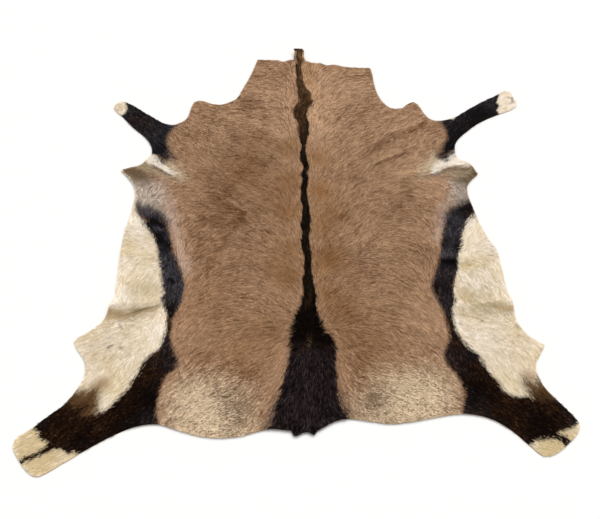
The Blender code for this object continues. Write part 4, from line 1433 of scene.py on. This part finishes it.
def finish_hair(tree, base, roughness):
    """Gives hair its dry, faint gleam."""
    gleam = {"Roughness": roughness, "Specular IOR Level": HAIR_GLOSS, "IOR": HAIR_IOR}
    finish_material(tree, {"Base Color": base, **gleam})


def short_coat_material():
    """Oryx guard hair, tanned and brushed flat: a dry, barely glossy nap with short streaks along its lie."""
    material, tree = new_material("oryx_guard_hair_tanned_and_brushed")
    finish_hair(tree, shaded(tree, coat_colour(tree), SHORT_TINTS, SHORT_ROOT_TO_TIP), 0.60)
    return material


def underfur_material():
    """The dense underfur at the skin: the coat's own colours, matt and darker as painted shade under the
    hairs, seen between the hairs.
    """
    material, tree = new_material("oryx_underfur_in_painted_shade")
    white = add_node(tree, "ShaderNodeAttribute", attribute_name="white").outputs["Fac"]
    low, high = UNDERFUR_SHADE
    depth = add_node(tree, "ShaderNodeMapRange", {"Value": white, "To Min": low, "To Max": high}).outputs[0]
    base = add_node(tree, "ShaderNodeHueSaturation", {"Value": depth, "Color": coat_colour(tree)}).outputs[0]
    finish_material(tree, {"Base Color": base, "Roughness": 0.95, "Specular IOR Level": HAIR_GLOSS})
    return material


def region_of(places):
    """The number of the coat's piece that each place belongs to."""
    right = (places[:, 0] > MIDDLE_LINE).astype(int)
    behind = np.where(places[:, 1] > RUMP_LINE, 1 + right, 3 + right)
    return np.where(places[:, 1] > SHOULDER_LINE, 0, behind)


def add_coat():
    """Draws every hair of the short coat and stores it in a few meshes."""
    sizes = bpy.context.scene.hide_sizes
    draw = np.random.default_rng(SEED + 1)
    step = sizes.spacing
    roots = grid_places(*(np.arange(CAD_BOX[0][k], CAD_BOX[1][k], step) for k in (0, 1)))
    roots += draw.uniform(-0.5, 0.5, roots.shape) * step
    roots = roots[depth_at(roots) > ROOT_MARGIN]
    fine, tuft, *_ = streaks_at(roots)

    out = np.abs(roots[:, 0])
    front_legs = smooth_step((out - LEG_ACROSS) / LEG_FADE)
    front_legs = front_legs * smooth_step((roots[:, 1] - FRONT_LEG_ALONG) / LEG_FADE)
    hind_legs = smooth_step((HIND_LEG_ALONG - roots[:, 1]) / LEG_FADE) * (out > LEG_ACROSS)
    legs = np.maximum(front_legs, hind_legs)
    short = zone_share("short", roots, 0.0)
    length = sizes.back_hair + (sizes.belly_hair - sizes.back_hair) * zone_share("white", roots, 0.0)
    neck = smooth_step((roots[:, 1] - NECK_ALONG) / NECK_FADE) * (1 - legs)
    length += (sizes.neck_hair - length) * neck
    length += (sizes.rump_hair - length) * zone_share("rump", roots, 0.0)
    length += (sizes.short_hair - length) * short
    length += (sizes.leg_hair - length) * legs
    length *= draw.uniform(0.75, 1.20, len(roots))
    loft = sizes.loft * (1 - 0.40 * legs) * (1 - 0.55 * short) * (0.84 + 0.10 * fine + 0.05 * tuft)
    loft = loft.clip(LEAST_LOFT, MOST_LOFT)

    turn = HAIR_TURN * (1 - 0.4 * neck) * draw.standard_normal(len(roots)) + TUFT_TURN * tuft
    way = turned(lie_at(roots), turn)
    length = fitted_length(roots, way, length, sizes.overhang)
    marks = coat_marks(roots + way * (length * SEEN_AT)[:, None], draw)
    line = lying_line(roots, way, length, loft[:, None] * np.array([0.0, 1.0, 0.85]), draw)
    roll = HAIR_ROLL * draw.standard_normal(len(roots)) + STREAK_ROLL * fine
    aside = rolled_aside(way, roll, line.shape[1])
    width = sizes.hair_width * draw.uniform(0.75, 1.25, len(roots))

    material = short_coat_material()
    order = np.argsort(region_of(roots), kind="stable")
    region = region_of(roots)[order]
    for k, name in enumerate(COAT_PIECES):
        part = order[region == k]
        part_marks = {mark: values[part] for mark, values in marks.items()}
        add_piece(name, hair_mesh(name, line[part], aside[part], width[part], part_marks), material)


def fitted_length(roots, way, length, overhang):
    """Shortens each hair until its tip reaches no further past the cut edge than the overhang."""
    fitted = length * 0.15
    for share in (0.3, 0.45, 0.6, 0.75, 0.9, 1.0):
        tip = roots + way * (length * share)[:, None]
        fits = depth_at(tip) > -overhang
        fitted = np.where(fits, length * share, fitted)
    return fitted


def lying_line(roots, way, length, lift, draw):
    """The middle line of each hair, which follows the leather's rise and fall at its own lift."""
    skin = bpy.context.scene.hide_sizes.skin
    stations = lift.shape[1]
    line = np.empty((len(roots), stations, 3))
    for k, share in enumerate(np.linspace(0, 1, stations)):
        spot = roots + way * (length * share)[:, None]
        line[:, k, :2] = spot
        line[:, k, 2] = flesh_height(spot) + skin + lift[:, k]
    line[:, 1:, 2] += LIFT_STRAY * draw.standard_normal((len(roots), stations - 1))
    return line


def rolled_aside(way, roll, stations):
    """The way across each hair, rolled about its length by an angle."""
    flat = np.stack([-way[:, 1], way[:, 0], np.zeros(len(way))], 1)
    aside = flat * np.cos(roll)[:, None]
    aside[:, 2] = np.sin(roll)
    return np.repeat(aside[:, None], stations, axis=1)


def long_hair_material():
    """Mane and blaze hair, coarse, long and tanned: near black with a soft grey-brown gleam painted into its
    colour.

    The mark "warm" tells the mane's brown from the blaze's faint purple. The mane, the blaze and the
    tail locks share this material.
    """
    name = "oryx_mane_hair_long_and_coarse"
    if name in bpy.data.materials:
        return bpy.data.materials[name]
    material, tree = new_material(name)
    colours = bpy.context.scene.hide_colours
    mane = laid_over(tree, colours.mane_brown, ("black", colours.mane_dark))
    hair = laid_over(tree, colours.blaze, ("warm", mane))
    # Painted sheen over the long hair
    sheen_tips = laid_over(tree, colours.blaze_sheen, ("warm", colours.chestnut_sheen))
    hair = laid_over(tree, hair, ("glint", sheen_tips))
    finish_hair(tree, shaded(tree, hair, LONG_TINTS, LONG_ROOT_TO_TIP), 0.55)
    return material


def curved_lines(roots, heading, bend, length, lift):
    """The middle lines of long hairs that bend as they go."""
    skin = bpy.context.scene.hide_sizes.skin
    stations = lift.shape[1]
    line = np.empty((len(roots), stations, 3))
    spot = roots
    for k in range(stations):
        line[:, k, :2] = spot
        line[:, k, 2] = flesh_height(spot) + skin + lift[:, k]
        angle = heading + bend * (k / (stations - 2) - 0.5)
        spot = spot + unit(angle) * (length / (stations - 1))[:, None]
    return line


def aside_of(line, draw):
    """The way across each long hair at each station, level but for a roll about the hair."""
    way = np.gradient(line[:, :, :2], axis=1)
    way /= np.maximum(np.linalg.norm(way, axis=2)[:, :, None], 1e-9)
    roll = LONG_HAIR_ROLL * draw.standard_normal(len(line))[:, None]
    x, y = way[:, :, 0], way[:, :, 1]
    return np.stack([-y * np.cos(roll), x * np.cos(roll), np.broadcast_to(np.sin(roll), x.shape)], 2)


def long_marks(black, warm, deep, tint, glint):
    """What the long hair's material reads, as one number of each kind for each hair."""
    marks = {"black": black, "warm": warm, "deep": deep, "white": 0.0}
    marks.update(tint=tint.clip(0, 1), glint=glint.clip(0, 1))
    return {name: np.broadcast_to(values, tint.shape).astype(float) for name, values in marks.items()}


def mane_at(rows, along):
    """The mane's left and right border, its height and its two tones at some places along it."""
    return [np.interp(along, rows[:, 0], rows[:, column]) for column in range(1, rows.shape[1])]


def add_mane():
    """The mane: long hair in a narrow band down the back, which leans to one side and then the other."""
    sizes = bpy.context.scene.hide_sizes
    draw = np.random.default_rng(SEED + 2)
    rows = np.array(sorted(MANE))
    count = sizes.mane_hairs
    low, high = rows[0, 0], rows[-1, 0]
    start = draw.uniform(low, high, 3 * count)
    room = np.interp(start, rows[:, 0], rows[:, 2] - rows[:, 1])
    start = start[draw.random(len(start)) < room / room.max()][:count]
    count = len(start)
    # The band thins out over its borders
    off = draw.uniform(-1, 1, count) * draw.uniform(0.70, 1.35, count)
    length = sizes.mane_hair * draw.uniform(0.65, 1.1, count)
    dip = TONGUE_DIP * np.exp(-(((off - DIP_PLACE) / DIP_WIDTH) ** 2))
    length = np.minimum(length, high - dip - start)

    # Hairs of one lock share their lean and their tone, and a lock is a few strands wide
    lock = np.floor(start / MANE_LOCK + 0.35 * off).astype(int) * MANE_LOCKS_ACROSS
    lock += np.floor((off + 1) * 3).astype(int)
    lock -= lock.min()
    lean = draw.uniform(-1, 1, lock.max() + 1)[lock]
    lock_tone = draw.standard_normal(lock.max() + 1)[lock]
    wave = np.sin(math.tau * start / MANE_WAVE + 1.3 * np.sin(math.tau * start / (2.7 * MANE_WAVE)))
    line = np.empty((count, len(LIFT_SHAPE), 3))
    crown = (1 - 0.6 * off**2).clip(0.1, 1) * draw.uniform(0.6, 1.15, count)
    flare = 0.5 * off * draw.random(count) ** 2
    fray = MANE_FRAY * draw.standard_normal(count)
    for k, shape in enumerate(LIFT_SHAPE):
        share = k / (len(LIFT_SHAPE) - 1)
        along = start + length * share
        left, right, height, *_ = mane_at(rows, along)
        side = off * (1 - 0.15 * share) + (0.30 * wave + 0.30 * lean) * share + flare * share**2
        line[:, k, 0] = (left + right) / 2 + side.clip(-1.5, 1.5) * (right - left) / 2 + fray * share**2
        line[:, k, 1] = along
        lift = (sizes.loft * 0.4 + height * crown * shape) * (k > 0)
        line[:, k, 2] = flesh_height(line[:, k, :2]) + sizes.skin + lift
    middle = line[:, 2]
    left, right, _, tone_left, tone_right = mane_at(rows, middle[:, 1])
    place = ((middle[:, 0] - left) / (right - left)).clip(0, 1)
    tone = tone_left + (tone_right - tone_left) * place
    # On the neck dark and brown locks lie side by side
    mixed = 0.40 - 0.34 * tone + 0.16 * smooth_step((middle[:, 1] - NECK_ALONG) / NECK_FADE)
    tone += mixed * (lock_tone + 0.8 * draw.standard_normal(count))
    tint = 0.5 + 0.16 * lock_tone + 0.26 * draw.standard_normal(count)
    # The mane's painted brown sheen, by lock and by hair
    brown = 0.80 - 0.76 * smooth_step((GLEAM_ALONG - middle[:, 1]) / GLEAM_FADE)
    glint = brown * (0.10 + 0.35 * lock_tone + 0.60 * draw.standard_normal(count))
    marks = long_marks(tone.clip(0, 1), 1.0, 0.0, tint, glint)
    width = sizes.hair_width * draw.uniform(0.7, 1.2, count)
    add_piece("mane", hair_mesh("mane", line, aside_of(line, draw), width, marks), long_hair_material())


def add_blaze():
    """The long dark hair that opens out over the rump from the whorl, and its tail locks."""
    sizes = bpy.context.scene.hide_sizes
    draw = np.random.default_rng(SEED + 3)
    ring = border(BLAZE)
    roots = draw.uniform(ring.min(0), ring.max(0), (sizes.blaze_hairs, 2))
    roots = roots[depth_at(roots) > BLAZE_MARGIN]
    way = lie_at(roots)
    fine, tuft, cloud, _ = streaks_at(roots)
    single = draw.standard_normal(len(roots))
    heading = np.arctan2(way[:, 1], way[:, 0]) + 0.18 * single + 0.10 * tuft
    grown = smooth_step(np.linalg.norm(roots - np.array(WHORL), axis=1) / WHORL_REACH)
    length = sizes.blaze_hair * (0.30 + 0.70 * grown) * draw.uniform(0.7, 1.15, len(roots))
    way = unit(heading)
    length = fitted_length(roots, way, length, BLAZE_OVERHANG)
    # A hair is kept where its tip stays inside the dark mark, but for a few that stray over it
    tip = roots + way * (length * 0.85)[:, None]
    stray = BLAZE_STRAY * draw.standard_normal(len(roots)) + BLAZE_TUFT * tuft
    keep = depth_inside(tip, ring) > stray - BLAZE_OUTSIDE
    keep &= depth_inside(roots, ring) > -BLAZE_OUTSIDE
    roots, heading, length, grown, fine, tuft, cloud = (
        a[keep] for a in (roots, heading, length, grown, fine, tuft, cloud)
    )
    count = len(roots)
    crown = BLAZE_CROWN * (0.3 + 0.7 * grown) * draw.uniform(0.5, 1.15, count)
    lift = BLAZE_LIFT + crown[:, None] * LIFT_SHAPE
    lift[:, 0] = 0.0
    line = curved_lines(roots, heading, 0.35 * draw.standard_normal(count), length, lift)
    above = smooth_step((roots[:, 1] - BLAZE_TURN_ALONG) / BLAZE_TURN_FADE)
    warm = (above + 0.1 * fine).clip(0, 1)
    deep = (0.35 * above + 0.10 * cloud).clip(0, 1)
    tint = 0.45 + 0.12 * fine + 0.06 * tuft + 0.26 * draw.standard_normal(count)
    # Painted sheen in the blaze, less towards the whorl
    glint = (1 - 0.85 * above) * (0.10 + 0.08 * fine + 0.06 * tuft + 0.36 * draw.standard_normal(count))
    off = (roots - np.array(WHORL)) / GOLD_LINE
    bare = np.exp(-np.sum(off**2, axis=1)) * (draw.random(count) < 0.6)
    marks = long_marks(1.0 - 0.7 * bare, np.maximum(warm, bare), deep, tint, glint)
    width = sizes.hair_width * draw.uniform(0.6, 1.1, count)
    add_piece("blaze", hair_mesh("blaze", line, aside_of(line, draw), width, marks), long_hair_material())
    add_tail_locks(draw)


def add_tail_locks(draw):
    """The tail root's locks, whose hairs draw together towards their tips."""
    sizes = bpy.context.scene.hide_sizes
    parts = []
    for lock in TAIL_LOCKS:
        heading = math.radians(lock.heading)
        way = np.array([math.cos(heading), math.sin(heading)])
        side = np.array([-way[1], way[0]])
        off = draw.uniform(-1, 1, lock.hairs)
        back = draw.uniform(-0.4, 0.4, lock.hairs)
        roots = np.array([lock.across, lock.along]) + off[:, None] * side * lock.width / 2
        roots = roots + back[:, None] * way * lock.length * 0.5
        angle = heading - off * 0.5 * lock.width / lock.length + 0.08 * draw.standard_normal(lock.hairs)
        length = lock.length * draw.uniform(0.7, 1.1, lock.hairs)
        crown = (1 - 0.7 * off**2) * LOCK_CROWN * draw.uniform(0.55, 1.1, lock.hairs)
        parts.append((roots, angle, np.full(lock.hairs, math.radians(lock.bend)), length, crown))
    roots, angle, bend, length, crown = (np.concatenate(items) for items in zip(*parts))
    lift = LOCK_LIFT + crown[:, None] * LIFT_SHAPE
    lift[:, 0] = 0.0
    line = curved_lines(roots, angle, bend, length, lift)
    width = sizes.hair_width * draw.uniform(0.6, 1.1, len(line))
    tint = 0.45 + 0.2 * draw.standard_normal(len(line))
    marks = long_marks(1.0, 0.6, 0.2, tint, np.zeros(len(line)))
    mesh = hair_mesh("tail_locks", line, aside_of(line, draw), width, marks)
    add_piece("tail_locks", mesh, long_hair_material())


def flesh_material():
    """The flesh side of the leather, split and buffed: a dry, suede-like nap with faint mottling."""
    material, tree = new_material("buffed_leather_flesh_side")
    colours = bpy.context.scene.hide_colours
    nap = add_node(tree, "ShaderNodeTexNoise", {"Scale": 1 / NAP_SIZE, "Detail": 3.0}).outputs[0]
    mottle = add_node(tree, "ShaderNodeTexNoise", {"Scale": 1 / MOTTLE_SIZE, "Detail": 2.0}).outputs[0]
    low, high = MOTTLE_RANGE
    share = add_node(tree, "ShaderNodeMapRange", {"Value": mottle, "To Min": low, "To Max": high}).outputs[0]
    inputs = {0: share, 6: colours.flesh, 7: colours.pale}
    base = add_node(tree, "ShaderNodeMix", inputs, data_type="RGBA").outputs[2]
    inputs = {"Height": nap, "Strength": 0.4, "Distance": NAP_RISE}
    bump = add_node(tree, "ShaderNodeBump", inputs).outputs[0]
    finish_material(tree, {"Base Color": base, "Roughness": 0.9, "Normal": bump})
    return material


def add_leather():
    """The tanned skin as one closed sheet on the solid's folds, with its underfur on the hair side."""
    sizes = bpy.context.scene.hide_sizes
    ring = edge_ring()
    low, high = ring.min(0), ring.max(0)
    pitch = sizes.pitch
    rows = []
    for k, y in enumerate(np.arange(low[1], high[1], pitch * math.sqrt(3) / 2)):
        xs = np.arange(low[0], high[0], pitch) + pitch / 2 * (k % 2)
        rows.append(np.stack([xs, np.full(len(xs), y)], 1))
    field = np.vstack(rows)
    field = field[depth_at(field) > pitch * 0.45]
    points = np.vstack([ring, field])
    flat, _, faces, *_ = delaunay_2d_cdt([Vector(p) for p in points], [], [list(range(len(ring)))], 1, 1e-7)
    flat = np.array(flat)
    faces = np.array(faces)
    count = len(flat)
    under = flesh_height(flat)
    inner = smooth_step(depth_at(flat) / SKIVE_WIDTH)
    over = under + sizes.skin * (SKIVED_SHARE + (1 - SKIVED_SHARE) * inner)
    verts = np.vstack([np.column_stack([flat, under]), np.column_stack([flat, over])])
    edge = np.arange(len(ring))
    after = np.roll(edge, -1)
    lower_walls = np.column_stack([edge, after, after + count])
    upper_walls = np.column_stack([edge, after + count, edge + count])
    every = np.vstack([faces[:, ::-1], faces + count, lower_walls, upper_walls])
    mesh = bpy.data.meshes.new("leather")
    mesh.from_pydata(verts.tolist(), [], every.tolist())
    mesh.shade_smooth()
    under_face = np.zeros(len(every), bool)
    under_face[: len(faces)] = True
    under_face[2 * len(faces) :] = True
    store_marks(mesh, coat_marks(verts[:, :2], None))
    flat_map(mesh, np.repeat(under_face, 3))
    piece = add_piece("leather", mesh, underfur_material())
    mesh.materials.append(flesh_material())
    mesh.polygons.foreach_set("material_index", under_face.astype(np.int32))
    return piece


def set_stage():
    """A plain pale floor, even surroundings, one wide soft light from the neck's side, and the camera."""
    _, colours, studio = hide_settings()
    scene = bpy.context.scene
    bpy.ops.mesh.primitive_plane_add(size=FLOOR_SPAN, location=(0, 0, 0))
    floor = bpy.context.object
    floor.name = "floor"
    material, tree = new_material("painted_studio_floor")
    finish_material(tree, {"Base Color": colours.floor, "Roughness": 0.9, "Specular IOR Level": 0.1})
    floor.data.materials.append(material)

    world = bpy.data.worlds.new("studio")
    world.use_nodes = True
    background = world.node_tree.nodes["Background"]
    background.inputs["Color"].default_value = (1, 1, 1, 1)
    background.inputs["Strength"].default_value = studio.world
    scene.world = world

    sun = bpy.data.lights.new("key", "SUN")
    sun.energy = studio.key_strength
    sun.angle = SUN_WIDTH
    lamp = bpy.data.objects.new("key", sun)
    lamp.rotation_euler = (-Vector(SUN_WAY)).to_track_quat("-Z", "Y").to_euler()
    scene.collection.objects.link(lamp)

    lens = bpy.data.cameras.new("camera")
    lens.lens = studio.lens
    lens.sensor_width = SENSOR_WIDTH
    camera = bpy.data.objects.new("camera", lens)
    camera.location = (CAMERA_ACROSS, -studio.camera_back, studio.camera_height)
    camera.rotation_euler = (math.pi / 2 - studio.pitch, 0, 0)
    scene.collection.objects.link(camera)
    scene.camera = camera
    scene.view_settings.view_transform = "Standard"


class HIDE_OT_coat(bpy.types.Operator):
    """Grow the short coat over the whole hide"""

    bl_idname = "hide.coat"
    bl_label = "Grow the short coat"

    def execute(self, context):
        add_coat()
        return {"FINISHED"}


class HIDE_OT_mane(bpy.types.Operator):
    """Grow the mane: the ridge down the back and the neck's locks"""

    bl_idname = "hide.mane"
    bl_label = "Grow the mane"

    def execute(self, context):
        add_mane()
        return {"FINISHED"}


class HIDE_OT_blaze(bpy.types.Operator):
    """Grow the dark blaze and the tail locks"""

    bl_idname = "hide.blaze"
    bl_label = "Grow the blaze"

    def execute(self, context):
        add_blaze()
        return {"FINISHED"}


class HIDE_OT_leather(bpy.types.Operator):
    bl_idname = "hide.leather"
    bl_label = "Lay the leather"

    def execute(self, context):
        leather = add_leather()
        area = abs(ring_area(edge_ring()))
        return {"FINISHED"}


class HIDE_OT_stage(bpy.types.Operator):
    """Set the floor, the lights and the camera"""

    bl_idname = "hide.stage"
    bl_label = "Set the stage"

    def execute(self, context):
        set_stage()
        return {"FINISHED"}


class HIDE_PT_panel(bpy.types.Panel):
    """Sizes, colours and steps of the oryx hide"""

    bl_idname = "HIDE_PT_panel"
    bl_label = "Oryx hide"
    bl_space_type = "VIEW_3D"
    bl_region_type = "UI"
    bl_category = "Oryx hide"

    def draw(self, context):
        for group in hide_settings():
            box = self.layout.box()
            for name in group.__annotations__:
                box.prop(group, name)
        for operator in OPERATORS:
            self.layout.operator(operator.bl_idname)


GROUPS = (HideSizes, HideColours, StudioSettings)
OPERATORS = (HIDE_OT_coat, HIDE_OT_mane, HIDE_OT_blaze, HIDE_OT_leather, HIDE_OT_stage)


def register():
    for item in (*GROUPS, *OPERATORS, HIDE_PT_panel):
        bpy.utils.register_class(item)
    bpy.types.Scene.hide_sizes = PointerProperty(type=HideSizes)
    bpy.types.Scene.hide_colours = PointerProperty(type=HideColours)
    bpy.types.Scene.hide_studio = PointerProperty(type=StudioSettings)


def unregister():
    for name in ("hide_sizes", "hide_colours", "hide_studio"):
        delattr(bpy.types.Scene, name)
    for item in reversed((*GROUPS, *OPERATORS, HIDE_PT_panel)):
        bpy.utils.unregister_class(item)


def main():
    register()
    bpy.ops.hide.coat()
    bpy.ops.hide.mane()
    bpy.ops.hide.blaze()
    bpy.ops.hide.leather()
    bpy.ops.hide.stage()


if __name__ == "__main__":
    main()
